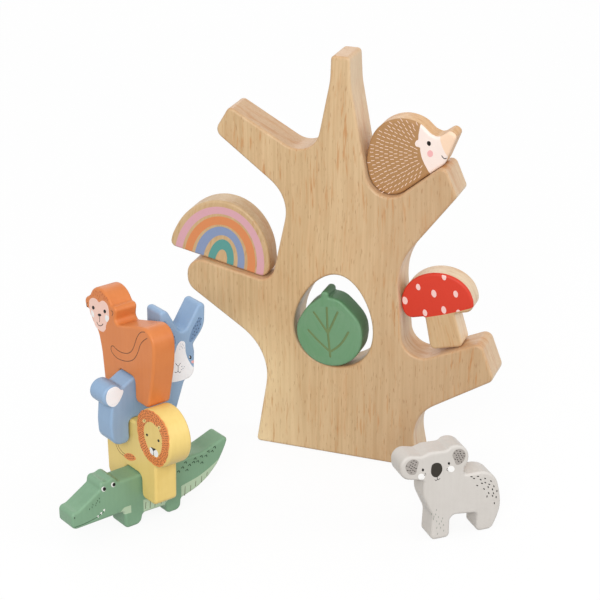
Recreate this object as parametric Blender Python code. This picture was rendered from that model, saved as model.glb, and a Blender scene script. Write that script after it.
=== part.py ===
"""A wooden balancing game: a cut-out tree, and nine cut-out pieces that balance in it or on each other.

Metres, +Z up. The tree faces -Y, and the origin is the middle of its foot, on the table.
Every piece is one flat board. Its own frame has X along it and Y up it, with the board's middle at Z = 0.
"""

import math

import bpy
from mathutils import Matrix, Vector

# The boards, and how close they come to each other
TREE_THICKNESS = 0.025
PIECE_THICKNESS = 0.016
EDGE_ROUNDING = 0.002
TOUCHING_GAP = 0.0003
NOTCH_CLEARANCE = 0.001
NOTCH_HEIGHT = 0.0155
NOTCH_RADIUS = 0.0035

# The tree: its foot, trunk and branches, and the hole for the leaf
TREE_WIDTH = 0.211
TREE_HEIGHT = 0.274
FOOT_WIDTH = 0.1142
MUSHROOM_FORK_RADIUS = 0.0135
HOLE_WIDTH = 0.0528
HOLE_HEIGHT = 0.0649
HOLE_LEAN = math.radians(-5.7)

# The pieces in the tree
LEAF_SIDE_PLAY = 0.0076
LEAF_TOP_PLAY = 0.0126
RAINBOW_WIDTH = 0.0712
RAINBOW_HEIGHT = 0.0432
RAINBOW_HEEL_RADIUS = 0.006
RAINBOW_TOE_RADIUS = 0.004
RAINBOW_TO_TRUNK = 0.0045
HEDGEHOG_LENGTH = 0.0635
HEDGEHOG_HEIGHT = 0.0421
HEDGEHOG_HEEL_RADIUS = 0.0147
MUSHROOM_WIDTH = 0.0476
MUSHROOM_HEIGHT = 0.0514
STEM_WIDTH = 0.0225
STEM_HEIGHT = 0.0228
MUSHROOM_LEAN = math.radians(14)

# The four pieces of the stack, from the table up, and the way the lowest one lies
CROCODILE_LENGTH = 0.117
CROCODILE_HEIGHT = 0.041
CROCODILE_X = -0.1170
CROCODILE_Y = -0.1782
CROCODILE_TURN = math.radians(58)
LION_LENGTH = 0.0725
LION_BACK_HEIGHT = 0.0499
LION_HEAD_RADIUS = 0.0185
LION_HEAD_DROP = 0.0033
RABBIT_LENGTH = 0.0763
RABBIT_HEIGHT = 0.080
RABBIT_TAIL_RADIUS = 0.0073
RABBIT_EAR_WIDTH = 0.005
RABBIT_TO_MANE = 0.0054
MONKEY_LENGTH = 0.0763
MONKEY_HEIGHT = 0.0625
MONKEY_TOE_RADIUS = 0.0045
MONKEY_TO_NAPE = 0.0032

# The koala, which stands by itself
KOALA_LENGTH = 0.0695
KOALA_HEIGHT = 0.063
KOALA_EAR_RADIUS = 0.0097
KOALA_X = 0.0694
KOALA_Y = -0.1072
KOALA_TURN = math.radians(40.8)

ARC_STEP = math.radians(18)
ROOT_ANGLE = math.radians(13)
EDGE_STEPS = 1

# Corners: (share of the length, share of the height, rounding as a share of the height)
TREE_SIDE_SHARES = {
    "right waist": (0.238, 0.134, 0.102),
    "mushroom branch below": (0.500, 0.261, 0.018),
    "mushroom branch tip": (0.455, 0.351, 0.018),
    "mushroom fork": (0.213, 0.266, 0),
    "right armpit": (0.185, 0.517, 0.153),
    "hedgehog branch below": (0.365, 0.701, 0.011),
    "hedgehog branch tip": (0.324, 0.773, 0.015),
    "hedgehog fork": (0.106, 0.634, 0),
    "top right neck": (0.035, 0.930, 0.146),
    "top right": (0.030, 1.000, 0.010),
    "top left": (-0.028, 1.000, 0.010),
    "top left neck": (-0.030, 0.943, 0.146),
    "upper left fork": (-0.082, 0.741, 0.055),
    "upper left branch tip": (-0.349, 0.855, 0.013),
    "upper left branch below": (-0.398, 0.791, 0.022),
    "left armpit": (-0.156, 0.650, 0.095),
    "rainbow fork": (-0.218, 0.427, 0),
    "rainbow branch tip": (-0.499, 0.471, 0.040),
    "rainbow branch below": (-0.499, 0.392, 0.040),
    "left waist": (-0.218, 0.249, 0.139),
}
FOOT_ROUNDING_SHARE = 0.009
HOLE_PLACE_SHARES = (-0.0120, 0.353)
HOLE_EGG_SHARE = 0.2

LEAF_UPPER_SHARES = [
    (0.500, 0.631, 0.382),
    (0.140, 0.930, 0.268),
    (-0.010, 0.930, 0.012),
    (-0.010, 1.000, 0.047),
    (-0.128, 1.000, 0.047),
    (-0.132, 0.925, 0.014),
    (-0.330, 0.775, 0.250),
    (-0.500, 0.540, 0.382),
]
LEAF_ROUND_SHARE = 0.432
LEAF_OFF_CENTRE_SHARE = -0.305
LEAF_PROUD = 0.0025

HEDGEHOG_HEEL_SHARE = -0.165
HEDGEHOG_FACE_SHARES = [
    (0.740, 0.000, 0.190),
    (1.017, 0.232, 0.071),
    (0.991, 0.352, 0.071),
    (0.846, 0.361, 0.119),
]
HEDGEHOG_BACK_CENTRE_SHARES = (0.455, 0.487)
HEDGEHOG_BACK_WIDTH_SHARE = 0.351
HEDGEHOG_RUMP_SHARES = (0.091, 0.701, 0.285)

STEM_TAPER_SHARE = 0.89
STEM_ROUNDING_SHARE = 0.155
CAP_RIM_SHARES = (0.975, 0.117)
CAP_MIDDLE_SHARE = 0.603
CAP_JOIN_SHARE = 0.029

CROCODILE_BACK_SHARE = 0.842
CROCODILE_LION_SHARE = 0.494
CROCODILE_SHARES = [
    (0.000, 0.298, 0.098),
    (0.321, 0.302, 0.049),
    (0.324, 0.000, 0.073),
    (0.423, 0.000, 0.110),
    (0.438, 0.168, 0.061),
    (0.581, 0.154, 0.061),
    (0.589, 0.000, 0.073),
    (0.676, 0.000, 0.098),
    (0.684, 0.185, 0.050),
    (0.812, 0.272, 0.927),
    (0.930, 0.530, 0.927),
    (0.990, 0.868, 0.366),
    (1.000, 1.000, 0.088),
    (0.838, CROCODILE_BACK_SHARE, 0.610),
    (0.296, CROCODILE_BACK_SHARE, 0.073),
    (0.262, 0.961, 0.073),
    (0.222, 0.922, 0.073),
    (0.179, 0.941, 0.073),
    (0.174, 0.812, 0.049),
    (0.039, 0.583, 0.146),
    (0.000, 0.583, 0.078),
]

LION_NOTCH_SHARE = 0.418
LION_RUMP_SHARES = (0.017, 0.120, 0.240)
LION_CHEST_SHARES = (0.756, 0.070)
LION_CHIN_ROUNDING_SHARE = 0.135
LION_CHIN = math.radians(-85)

RABBIT_NOTCH_SHARE = 0.354
RABBIT_HIND_SHARES = (0.068, 0.000, 0.100)
RABBIT_FRONT_SHARES = [
    (0.642, 0.000, 0.062),
    (0.784, 0.371, 0.031),
    (0.878, 0.374, 0.075),
    (0.890, 0.600, 0.125),
    (0.877, 0.653, 0.031),
    (0.993, 0.781, 0.175),
    (1.003, 0.986, 0.056),
]
RABBIT_EAR_TIP_SHARES = [(0.972, 0.056), (1.000, 0.075)]
RABBIT_EAR_FORK_SHARES = (0.776, 0.744, 0.050)
RABBIT_LEFT_EAR_SHARES = [(0.566, 1.000, 0.044), (0.564, 0.700, 0.250)]
RABBIT_NAPE_SHARES = (0.540, 0.031)
RABBIT_CROUP_SHARES = (0.282, 0.125)
RABBIT_TAIL_HEIGHT_SHARE = 0.430
RABBIT_TAIL_TOP = math.radians(31)
RABBIT_TAIL_BOTTOM = math.radians(258)
RABBIT_TAIL_ROUNDING_SHARE = 0.27
RABBIT_THIGH_SHARES = (0.060, 0.188, 0.250)

MONKEY_NOTCH_SHARE = 0.587
MONKEY_TOE_SHARE = 0.895
MONKEY_HIND_SHARES = (0.249, 0.000, 0.063)
MONKEY_RUMP_SHARES = [(0.995, 0.496, 0.960), (1.000, 0.900, 0.160), (0.438, 0.696, 0.048)]
MONKEY_RIGHT_EAR_SHARES = [(0.471, 0.882, 0.045), (0.400, 0.888, 0.024)]
MONKEY_HEAD_CENTRE_SHARES = (0.241, 0.784)
MONKEY_HEAD_RADIUS_SHARE = 0.216
MONKEY_LEFT_EAR_SHARES = (0.055, 0.770)
MONKEY_EAR_RADIUS_SHARE = 0.067
MONKEY_FACE_SHARES = [(0.060, 0.697, 0.024), (0.111, 0.586, 0.192), (0.186, 0.518, 0.160), (0.253, 0.192, 0.960)]

KOALA_LEG_SHARES = [
    (0.317, 0.000, 0.048),
    (0.499, 0.000, 0.048),
    (0.499, 0.244, 0.063),
    (0.760, 0.211, 0.048),
    (0.760, 0.000, 0.048),
    (0.913, 0.000, 0.069),
]
KOALA_RUMP_SHARES = [(1.007, 0.240, 0.397), (0.928, 0.660, 0.222), (0.616, 0.660, 0.035)]
KOALA_RIGHT_EAR_SHARES = (0.522, 0.846)
KOALA_LEFT_HEAD_SHARES = [
    (0.446, 0.963, 0.040),
    (0.288, 0.973, 0.127),
    (0.210, 0.944, 0.048),
    (-0.004, 1.000, 0.103),
    (0.022, 0.735, 0.111),
]
KOALA_CHEST_SHARES = [(0.236, 0.676, 0.032), (0.233, 0.500, 0.238), (0.328, 0.262, 0.159)]

WOOD_COLOUR = (0.64, 0.46, 0.26)
LEAF_COLOUR = (0.17, 0.33, 0.18)
HEDGEHOG_COLOUR = (0.43, 0.24, 0.10)
MUSHROOM_COLOUR = (0.67, 0.06, 0.03)
CROCODILE_COLOUR = (0.22, 0.38, 0.24)
LION_COLOUR = (0.87, 0.65, 0.22)
RABBIT_COLOUR = (0.22, 0.34, 0.50)
MONKEY_COLOUR = (0.69, 0.25, 0.09)
KOALA_COLOUR = (0.67, 0.64, 0.60)
ROUGHNESS = 0.55


def sized(shares, length, height):
    """Corners in metres from rows of shares: along the length, up the height, and the rounding."""
    return [(x * length, y * height, rounding * height) for x, y, rounding in shares]


def arc(centre, radius_x, radius_y, start, end):
    """Plain corners along part of an ellipse, counterclockwise from the angle start to end."""
    count = math.ceil((end - start) / ARC_STEP)
    angles = [start + (end - start) * step / count for step in range(count + 1)]
    return [(centre[0] + radius_x * math.cos(a), centre[1] + radius_y * math.sin(a), 0) for a in angles]


def rooted_arc(centre, radius, start, end, rounding):
    """An arc of a circle whose two ends are rounded into what it grows out of."""
    roots = [(centre[0] + radius * math.cos(a), centre[1] + radius * math.sin(a), rounding) for a in (start, end)]
    return [roots[0]] + arc(centre, radius, radius, start + ROOT_ANGLE, end - ROOT_ANGLE) + [roots[1]]


def rounded(corners):
    """Points of a closed outline. Each corner (x, y, radius) becomes an arc, as large as its neighbours allow."""
    places = [Vector(corner[:2]) for corner in corners]
    backs = [places[i - 1] - place for i, place in enumerate(places)]
    ons = [-back for back in backs[1:] + backs[:1]]
    halves = [back.angle(on) / 2 for back, on in zip(backs, ons)]
    wanted = [corner[2] / math.tan(half) for corner, half in zip(corners, halves)]
    points = []
    for i, place in enumerate(places):
        if not wanted[i]:
            points.append(place)
            continue
        after = wanted[(i + 1) % len(wanted)]
        reach = wanted[i] * min(1, backs[i].length / (wanted[i] + wanted[i - 1]), ons[i].length / (wanted[i] + after))
        back, on = backs[i].normalized(), ons[i].normalized()
        centre = place + (back + on).normalized() * reach / math.cos(halves[i])
        turn = math.copysign(math.pi - 2 * halves[i], on.cross(back))
        count = math.ceil(abs(turn) / ARC_STEP)
        spoke = place + back * reach - centre
        points += [centre + Matrix.Rotation(turn * step / count, 2) @ spoke for step in range(count + 1)]
    return points


def notch(centre_x):
    """Corners of the gap between two legs, which straddles the board that the piece stands across."""
    half_width = PIECE_THICKNESS / 2 + NOTCH_CLEARANCE
    left, right = centre_x - half_width, centre_x + half_width
    return [
        (left, 0, NOTCH_RADIUS),
        (left, NOTCH_HEIGHT, NOTCH_RADIUS),
        (right, NOTCH_HEIGHT, NOTCH_RADIUS),
        (right, 0, NOTCH_RADIUS),
    ]


def from_notch(points, notch_share, length):
    """The same outline, from the middle of its notch, on which the piece is lifted off."""
    return [point - Vector((notch_share * length, 0)) for point in points]


def rest_in_fork(points, tilt, fork, seat_end, seat_gap, wall_end, wall_gap):
    """Where a tilted outline goes so that it lies a gap clear of both sides of a fork: the seat and the wall."""
    tilted = [Matrix.Rotation(tilt, 2) @ point for point in points]
    rows, reaches = [], []
    for end, inner, gap in ((seat_end, wall_end, seat_gap), (wall_end, seat_end, wall_gap)):
        side = (end - fork).normalized()
        inward = inner - fork
        normal = (inward - side * inward.dot(side)).normalized()
        rows.append(normal)
        reaches.append(normal.dot(fork) + gap - min(normal.dot(point) for point in tilted))
    return Matrix(rows).inverted() @ Vector(reaches)


def rest_in_hole(points, hole, across):
    """How high an outline lies when it rests on the lowest part of the hole, shifted across by a length."""

    def floor(x):
        sides = zip(hole, hole[1:] + hole[:1])
        crossed = [(start, end) for start, end in sides if min(start.x, end.x) <= x < max(start.x, end.x)]
        return min(start.y + (end.y - start.y) * (x - start.x) / (end.x - start.x) for start, end in crossed)

    return max(floor(point.x + across) - point.y for point in points) + TOUCHING_GAP


# The tree


def tree_corner(name):
    """The corner of the tree's outline with this name, before it is rounded."""
    x, y, _ = TREE_SIDE_SHARES[name]
    return Vector((x * TREE_WIDTH, y * TREE_HEIGHT))


def tree_outline():
    fork_radii = {
        "mushroom fork": MUSHROOM_FORK_RADIUS,
        "hedgehog fork": HEDGEHOG_HEEL_RADIUS + TOUCHING_GAP,
        "rainbow fork": RAINBOW_HEEL_RADIUS + RAINBOW_TO_TRUNK,
    }
    foot = FOOT_WIDTH / 2
    foot_rounding = FOOT_ROUNDING_SHARE * TREE_HEIGHT
    corners = [(-foot, 0, foot_rounding), (foot, 0, foot_rounding)]
    for name, shares in TREE_SIDE_SHARES.items():
        radius = fork_radii.get(name, shares[2] * TREE_HEIGHT)
        corners.append((*tree_corner(name), radius))
    return rounded(corners)


def hole_outline():
    """An egg with its wide end down, leaning to the right."""
    x, y = HOLE_PLACE_SHARES
    centre = Vector((x * TREE_WIDTH, y * TREE_HEIGHT))
    lean = Matrix.Rotation(HOLE_LEAN, 2)
    points = []
    for point_x, point_y, _ in arc((0, 0), HOLE_WIDTH / 2, HOLE_HEIGHT / 2, 0, math.tau)[:-1]:
        widening = 1 - HOLE_EGG_SHARE * 2 * point_y / HOLE_HEIGHT
        points.append(centre + lean @ Vector((point_x * widening, point_y)))
    return points


# The pieces in the tree


def leaf_outline():
    """A round leaf that comes to a stub of stalk at the top, from its lowest point."""
    width = HOLE_WIDTH - LEAF_SIDE_PLAY
    height = HOLE_HEIGHT - LEAF_TOP_PLAY
    middle = LEAF_ROUND_SHARE * height
    lower = arc((0, middle), width / 2, middle, -math.pi, 0)
    return rounded(lower + sized(LEAF_UPPER_SHARES, width, height))


def rainbow_outline():
    """Half an ellipse on its flat side, from the middle of that side."""
    end = RAINBOW_WIDTH / 2
    arch = arc((0, 0), end, RAINBOW_HEIGHT, ROOT_ANGLE, math.pi - ROOT_ANGLE)
    return rounded([(-end, 0, RAINBOW_TOE_RADIUS), (end, 0, RAINBOW_HEEL_RADIUS)] + arch)


def hedgehog_outline():
    """A domed back from the rump to the brow, a snout on the right, and a heel that fits its fork."""
    length, height = HEDGEHOG_LENGTH, HEDGEHOG_HEIGHT
    x, y = HEDGEHOG_BACK_CENTRE_SHARES
    back = arc((x * length, y * height), HEDGEHOG_BACK_WIDTH_SHARE * length, (1 - y) * height, 0, math.radians(128))
    heel = (HEDGEHOG_HEEL_SHARE * length, 0, HEDGEHOG_HEEL_RADIUS)
    face = sized(HEDGEHOG_FACE_SHARES, length, height)
    return rounded([heel] + face + back + sized([HEDGEHOG_RUMP_SHARES], length, height))


def mushroom_outline():
    """A domed cap on a stem that narrows upwards, from the middle of the stem's foot."""
    foot = STEM_WIDTH / 2
    neck = STEM_TAPER_SHARE * foot
    rim = CAP_RIM_SHARES[0] * MUSHROOM_WIDTH / 2
    rim_radius = CAP_RIM_SHARES[1] * MUSHROOM_HEIGHT
    foot_radius = STEM_ROUNDING_SHARE * STEM_WIDTH
    join_radius = CAP_JOIN_SHARE * MUSHROOM_HEIGHT
    middle = CAP_MIDDLE_SHARE * MUSHROOM_HEIGHT
    right = [(foot, 0, foot_radius), (neck, STEM_HEIGHT, join_radius), (rim, STEM_HEIGHT, rim_radius)]
    left = [(-x, y, radius) for x, y, radius in reversed(right)]
    dome = arc((0, middle), MUSHROOM_WIDTH / 2, MUSHROOM_HEIGHT - middle, 0, math.pi)
    return rounded(right + dome + left)


# The stack: each piece straddles the one below, square across it


def lion_head_centre():
    return Vector((LION_LENGTH - LION_HEAD_RADIUS, LION_BACK_HEIGHT - LION_HEAD_DROP))


def lion_seat_x():
    """Where the rabbit stands across the lion's back, clear of the mane."""
    return lion_head_centre().x - LION_HEAD_RADIUS - RABBIT_TO_MANE - PIECE_THICKNESS / 2


def rabbit_seat_x():
    """Where the monkey stands across the rabbit's back, clear of its nape."""
    return RABBIT_NAPE_SHARES[0] * RABBIT_LENGTH - MONKEY_TO_NAPE - PIECE_THICKNESS / 2


def rabbit_back_height():
    """The rabbit's back carries the monkey just so high that its front foot clears the lion's head."""
    head = lion_head_centre()
    reach = LION_HEAD_RADIUS + TOUCHING_GAP
    lifts = []
    for point in from_notch(monkey_outline(), MONKEY_NOTCH_SHARE, MONKEY_LENGTH):
        aside = lion_seat_x() + point.x - head.x
        if abs(aside) < reach:
            lifts.append(head.y + math.sqrt(reach**2 - aside**2) - point.y)
    monkey_foot = max(lifts)
    rabbit_foot = LION_BACK_HEIGHT + TOUCHING_GAP - NOTCH_HEIGHT
    return monkey_foot + NOTCH_HEIGHT - TOUCHING_GAP - rabbit_foot


def crocodile_outline():
    return rounded(sized(CROCODILE_SHARES, CROCODILE_LENGTH, CROCODILE_HEIGHT))


def lion_outline():
    """A round head on the right, and a back as high as the rabbit's seat."""
    head = lion_head_centre()
    radius = LION_HEAD_RADIUS
    rump_x, heel_share, rump_share = LION_RUMP_SHARES
    chest_x, toe_share = LION_CHEST_SHARES
    nape = math.pi - math.asin(LION_HEAD_DROP / radius)
    mane = rooted_arc(head, radius, LION_CHIN, nape, LION_CHIN_ROUNDING_SHARE * radius)
    corners = [(rump_x * LION_LENGTH, 0, heel_share * LION_BACK_HEIGHT)]
    corners += notch(LION_NOTCH_SHARE * LION_LENGTH)
    corners += [(chest_x * LION_LENGTH, 0, toe_share * LION_BACK_HEIGHT)] + mane
    corners += [(0, LION_BACK_HEIGHT, rump_share * LION_BACK_HEIGHT)]
    return rounded(corners)


def rabbit_outline():
    """Two ears on the right, a hollow back, and a round tail on the left."""
    length, height = RABBIT_LENGTH, RABBIT_HEIGHT
    back_height = rabbit_back_height()
    tail_rounding = RABBIT_TAIL_ROUNDING_SHARE * RABBIT_TAIL_RADIUS
    tail_centre = (RABBIT_TAIL_RADIUS, RABBIT_TAIL_HEIGHT_SHARE * height)
    tail = rooted_arc(tail_centre, RABBIT_TAIL_RADIUS, RABBIT_TAIL_TOP, RABBIT_TAIL_BOTTOM, tail_rounding)
    corners = sized([RABBIT_HIND_SHARES], length, height)
    corners += notch(RABBIT_NOTCH_SHARE * length)
    corners += sized(RABBIT_FRONT_SHARES, length, height)
    left_ear = sized(RABBIT_LEFT_EAR_SHARES, length, height)
    inner_sides = [corners[-1][0] - RABBIT_EAR_WIDTH, left_ear[0][0] + RABBIT_EAR_WIDTH]
    right_tip, left_tip = [
        (x, y * height, rounding * height)
        for x, (y, rounding) in zip(inner_sides, RABBIT_EAR_TIP_SHARES)
    ]
    corners += [right_tip, *sized([RABBIT_EAR_FORK_SHARES], length, height), left_tip] + left_ear
    for x, rounding in (RABBIT_NAPE_SHARES, RABBIT_CROUP_SHARES):
        corners.append((x * length, back_height, rounding * height))
    corners += tail + sized([RABBIT_THIGH_SHARES], length, height)
    return rounded(corners)


def monkey_outline():
    """A round head with two ears on the left, over a sloping chest."""
    length, height = MONKEY_LENGTH, MONKEY_HEIGHT
    head_x, head_y = MONKEY_HEAD_CENTRE_SHARES
    head_radius = MONKEY_HEAD_RADIUS_SHARE * height
    head = arc((head_x * length, head_y * height), head_radius, head_radius, math.radians(42), math.radians(155))
    ear_x, ear_y = MONKEY_LEFT_EAR_SHARES
    ear_radius = MONKEY_EAR_RADIUS_SHARE * height
    ear = arc((ear_x * length, ear_y * height), ear_radius, ear_radius, math.radians(110), math.radians(250))
    corners = sized([MONKEY_HIND_SHARES], length, height)
    corners += notch(MONKEY_NOTCH_SHARE * length)
    corners += [(MONKEY_TOE_SHARE * length, 0, MONKEY_TOE_RADIUS)]
    corners += sized(MONKEY_RUMP_SHARES + MONKEY_RIGHT_EAR_SHARES, length, height)
    corners += head + ear + sized(MONKEY_FACE_SHARES, length, height)
    return rounded(corners)


def koala_outline():
    """Two broad ears on the left, a high rump, and a leg at each end."""
    length, height = KOALA_LENGTH, KOALA_HEIGHT
    ear_x, ear_y = KOALA_RIGHT_EAR_SHARES
    ear_centre = (ear_x * length, ear_y * height)
    right_ear = arc(ear_centre, KOALA_EAR_RADIUS, KOALA_EAR_RADIUS, math.radians(-42), math.radians(105))
    corners = sized(KOALA_LEG_SHARES + KOALA_RUMP_SHARES, length, height) + right_ear
    corners += sized(KOALA_LEFT_HEAD_SHARES + KOALA_CHEST_SHARES, length, height)
    return rounded(corners)


# Building and placing the boards


def make_material(name, colour):
    material = bpy.data.materials.new(name)
    material.use_nodes = True
    surface = material.node_tree.nodes["Principled BSDF"]
    surface.inputs["Base Color"].default_value = (*colour, 1)
    surface.inputs["Roughness"].default_value = ROUGHNESS
    surface.inputs["Metallic"].default_value = 0
    material.diffuse_color = (*colour, 1)
    return material


def make_board(collection, name, outlines, thickness, colour):
    """A board cut to its outline, and to any hole in it, with rounded edges on both faces."""
    curve = bpy.data.curves.new(name, "CURVE")
    curve.dimensions = "2D"
    curve.fill_mode = "BOTH"
    curve.extrude = thickness / 2 - EDGE_ROUNDING
    curve.bevel_depth = EDGE_ROUNDING
    curve.bevel_resolution = EDGE_STEPS
    curve.offset = -EDGE_ROUNDING
    for outline in outlines:
        spline = curve.splines.new("POLY")
        spline.points.add(len(outline) - 1)
        for point, (x, y) in zip(spline.points, outline):
            point.co = (x, y, 0, 1)
        spline.use_cyclic_u = True
    curve.materials.append(make_material(name, colour))
    board = bpy.data.objects.new(name, curve)
    collection.objects.link(board)
    return board


def stand(board, x, y, turn):
    """Stands a board on the table, upright."""
    board.location = (x, y, 0)
    board.rotation_euler = (math.pi / 2, 0, turn)


def hang_in_tree(board, tree, place, tilt, forward=0):
    board.parent = tree
    board.location = (*place, forward)
    board.rotation_euler = (0, 0, tilt)


def straddle(board, carrier, seat_x, seat_height, turn):
    """Sets the notch of a board across its carrier, a quarter turn round."""
    board.parent = carrier
    board.location = (seat_x, seat_height + TOUCHING_GAP - NOTCH_HEIGHT, 0)
    board.rotation_euler = (0, turn, 0)


def build_tree(collection):
    tree = make_board(collection, "tree", [tree_outline(), hole_outline()], TREE_THICKNESS, WOOD_COLOUR)
    stand(tree, 0, 0, 0)
    return tree


def build_leaf(collection, tree):
    outline = leaf_outline()
    across = HOLE_PLACE_SHARES[0] * TREE_WIDTH + LEAF_OFF_CENTRE_SHARE * LEAF_SIDE_PLAY
    place = (across, rest_in_hole(outline, hole_outline(), across))
    leaf = make_board(collection, "leaf", [outline], PIECE_THICKNESS, LEAF_COLOUR)
    hang_in_tree(leaf, tree, place, 0, forward=(TREE_THICKNESS - PIECE_THICKNESS) / 2 + LEAF_PROUD)


def build_rainbow(collection, tree):
    fork, tip = tree_corner("rainbow fork"), tree_corner("rainbow branch tip")
    tilt = math.atan2(fork.y - tip.y, fork.x - tip.x)
    outline = rainbow_outline()
    trunk = tree_corner("left armpit")
    place = rest_in_fork(outline, tilt, fork, tip, TOUCHING_GAP, trunk, RAINBOW_TO_TRUNK)
    rainbow = make_board(collection, "rainbow", [outline], PIECE_THICKNESS, WOOD_COLOUR)
    hang_in_tree(rainbow, tree, place, tilt)


def build_hedgehog(collection, tree):
    fork, tip = tree_corner("hedgehog fork"), tree_corner("hedgehog branch tip")
    tilt = math.atan2(tip.y - fork.y, tip.x - fork.x)
    outline = hedgehog_outline()
    trunk = tree_corner("top right neck")
    place = rest_in_fork(outline, tilt, fork, tip, TOUCHING_GAP, trunk, TOUCHING_GAP)
    hedgehog = make_board(collection, "hedgehog", [outline], PIECE_THICKNESS, HEDGEHOG_COLOUR)
    hang_in_tree(hedgehog, tree, place, tilt)


def build_mushroom(collection, tree):
    fork, tip = tree_corner("mushroom fork"), tree_corner("mushroom branch tip")
    outline = mushroom_outline()
    trunk = tree_corner("right armpit")
    place = rest_in_fork(outline, MUSHROOM_LEAN, fork, tip, TOUCHING_GAP, trunk, TOUCHING_GAP)
    mushroom = make_board(collection, "mushroom", [outline], PIECE_THICKNESS, MUSHROOM_COLOUR)
    hang_in_tree(mushroom, tree, place, MUSHROOM_LEAN)


def build_stack(collection):
    """Each piece lies in the frame of the one that carries it."""
    quarter = math.pi / 2
    crocodile = make_board(collection, "crocodile", [crocodile_outline()], PIECE_THICKNESS, CROCODILE_COLOUR)
    stand(crocodile, CROCODILE_X, CROCODILE_Y, CROCODILE_TURN)

    outline = from_notch(lion_outline(), LION_NOTCH_SHARE, LION_LENGTH)
    lion = make_board(collection, "lion", [outline], PIECE_THICKNESS, LION_COLOUR)
    seat_x = CROCODILE_LION_SHARE * CROCODILE_LENGTH
    straddle(lion, crocodile, seat_x, CROCODILE_BACK_SHARE * CROCODILE_HEIGHT, -quarter)

    outline = from_notch(rabbit_outline(), RABBIT_NOTCH_SHARE, RABBIT_LENGTH)
    rabbit = make_board(collection, "rabbit", [outline], PIECE_THICKNESS, RABBIT_COLOUR)
    seat_x = lion_seat_x() - LION_NOTCH_SHARE * LION_LENGTH
    straddle(rabbit, lion, seat_x, LION_BACK_HEIGHT, quarter)

    outline = from_notch(monkey_outline(), MONKEY_NOTCH_SHARE, MONKEY_LENGTH)
    monkey = make_board(collection, "monkey", [outline], PIECE_THICKNESS, MONKEY_COLOUR)
    seat_x = rabbit_seat_x() - RABBIT_NOTCH_SHARE * RABBIT_LENGTH
    straddle(monkey, rabbit, seat_x, rabbit_back_height(), -quarter)


def build_koala(collection):
    koala = make_board(collection, "koala", [koala_outline()], PIECE_THICKNESS, KOALA_COLOUR)
    stand(koala, KOALA_X, KOALA_Y, KOALA_TURN)


def main():
    for item in list(bpy.data.objects):
        bpy.data.objects.remove(item)
    collection = bpy.data.collections.new("balancing_tree_game")
    bpy.context.scene.collection.children.link(collection)
    tree = build_tree(collection)
    build_leaf(collection, tree)
    build_rainbow(collection, tree)
    build_hedgehog(collection, tree)
    build_mushroom(collection, tree)
    build_stack(collection)
    build_koala(collection)


main()
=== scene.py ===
# %% [markdown]
# # A wooden balancing game
#
# A cut-out tree carries four loose pieces, four animals stand across each other beside it, and a koala
# stands alone. Every piece is one flat board with rounded edges, so this lesson is about boards: how one
# is cut, what its wood or paint looks like close up, and how a picture is printed on it.
#
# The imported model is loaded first. It says how large each board is and where it stands, and nothing in
# it is moved. All lengths are metres.

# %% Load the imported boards
import math

import bmesh
import bpy
from mathutils import Matrix, Vector
from mathutils.geometry import interpolate_bezier


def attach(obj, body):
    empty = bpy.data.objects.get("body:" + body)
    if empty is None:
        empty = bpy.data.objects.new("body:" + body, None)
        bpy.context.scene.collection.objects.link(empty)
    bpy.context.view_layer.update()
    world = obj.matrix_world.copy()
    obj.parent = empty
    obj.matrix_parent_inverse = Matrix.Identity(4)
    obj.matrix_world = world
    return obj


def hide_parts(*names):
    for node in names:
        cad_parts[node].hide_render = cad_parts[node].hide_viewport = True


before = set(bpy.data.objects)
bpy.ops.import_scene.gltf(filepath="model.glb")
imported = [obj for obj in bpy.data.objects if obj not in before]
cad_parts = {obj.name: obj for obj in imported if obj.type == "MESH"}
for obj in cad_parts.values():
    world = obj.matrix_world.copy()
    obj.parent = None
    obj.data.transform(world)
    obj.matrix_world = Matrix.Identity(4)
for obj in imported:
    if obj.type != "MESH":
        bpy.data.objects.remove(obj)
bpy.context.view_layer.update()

MM = 0.001
print("boards:", ", ".join(sorted(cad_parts)))

# %% [markdown]
# ## The camera
#
# The photograph was taken from a little above and to the right. A long lens keeps the boards' sides
# nearly parallel. The camera comes first, because the prints on the boards are placed by the pixels at
# which the photograph shows them: a ray goes from the camera through a pixel to the board's face.

# %% Set up the camera
FRAME_PIXELS = 600
SENSOR = 36.0
LENS = 112.8
CAMERA_PLACE = Vector((0.35845, -1.06379, 0.595))
CAMERA_LEFT = math.radians(20.07)
CAMERA_DOWN = math.radians(23.5)
NEAREST, FARTHEST = 0.05, 20


def add_object(name, data):
    thing = bpy.data.objects.new(name, data)
    bpy.context.scene.collection.objects.link(thing)
    return thing


lens = bpy.data.cameras.new("camera")
lens.sensor_width = SENSOR
lens.lens = LENS
lens.clip_start = NEAREST
lens.clip_end = FARTHEST
camera = add_object("camera", lens)
camera.location = CAMERA_PLACE
camera.rotation_euler = (math.pi / 2 - CAMERA_DOWN, 0, CAMERA_LEFT)
bpy.context.scene.camera = camera
bpy.context.view_layer.update()
CAMERA_TURN = camera.matrix_world.to_3x3()


def ray_through(pixel):
    """The direction from the camera through a pixel of the photograph."""
    middle = FRAME_PIXELS / 2
    focal_pixels = LENS / SENSOR * FRAME_PIXELS
    return CAMERA_TURN @ Vector((pixel[0] - middle, middle - pixel[1], -focal_pixels))


print("camera", tuple(round(value, 3) for value in camera.location))

# %% [markdown]
# ## A board and its outline
#
# A maker saws each piece from a flat board and rounds both edges on a router. Here the outline is read
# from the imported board, whose curves are drawn in coarse steps, and drawn again in fine ones. Between
# two corners runs a cubic curve. Its direction at a corner leans to the longer of the two sides that
# meet there, so straight edges stay straight and short steps become arcs.
#
# Each board has its own frame: X along it, Y up it, and Z out of its face.

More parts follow.
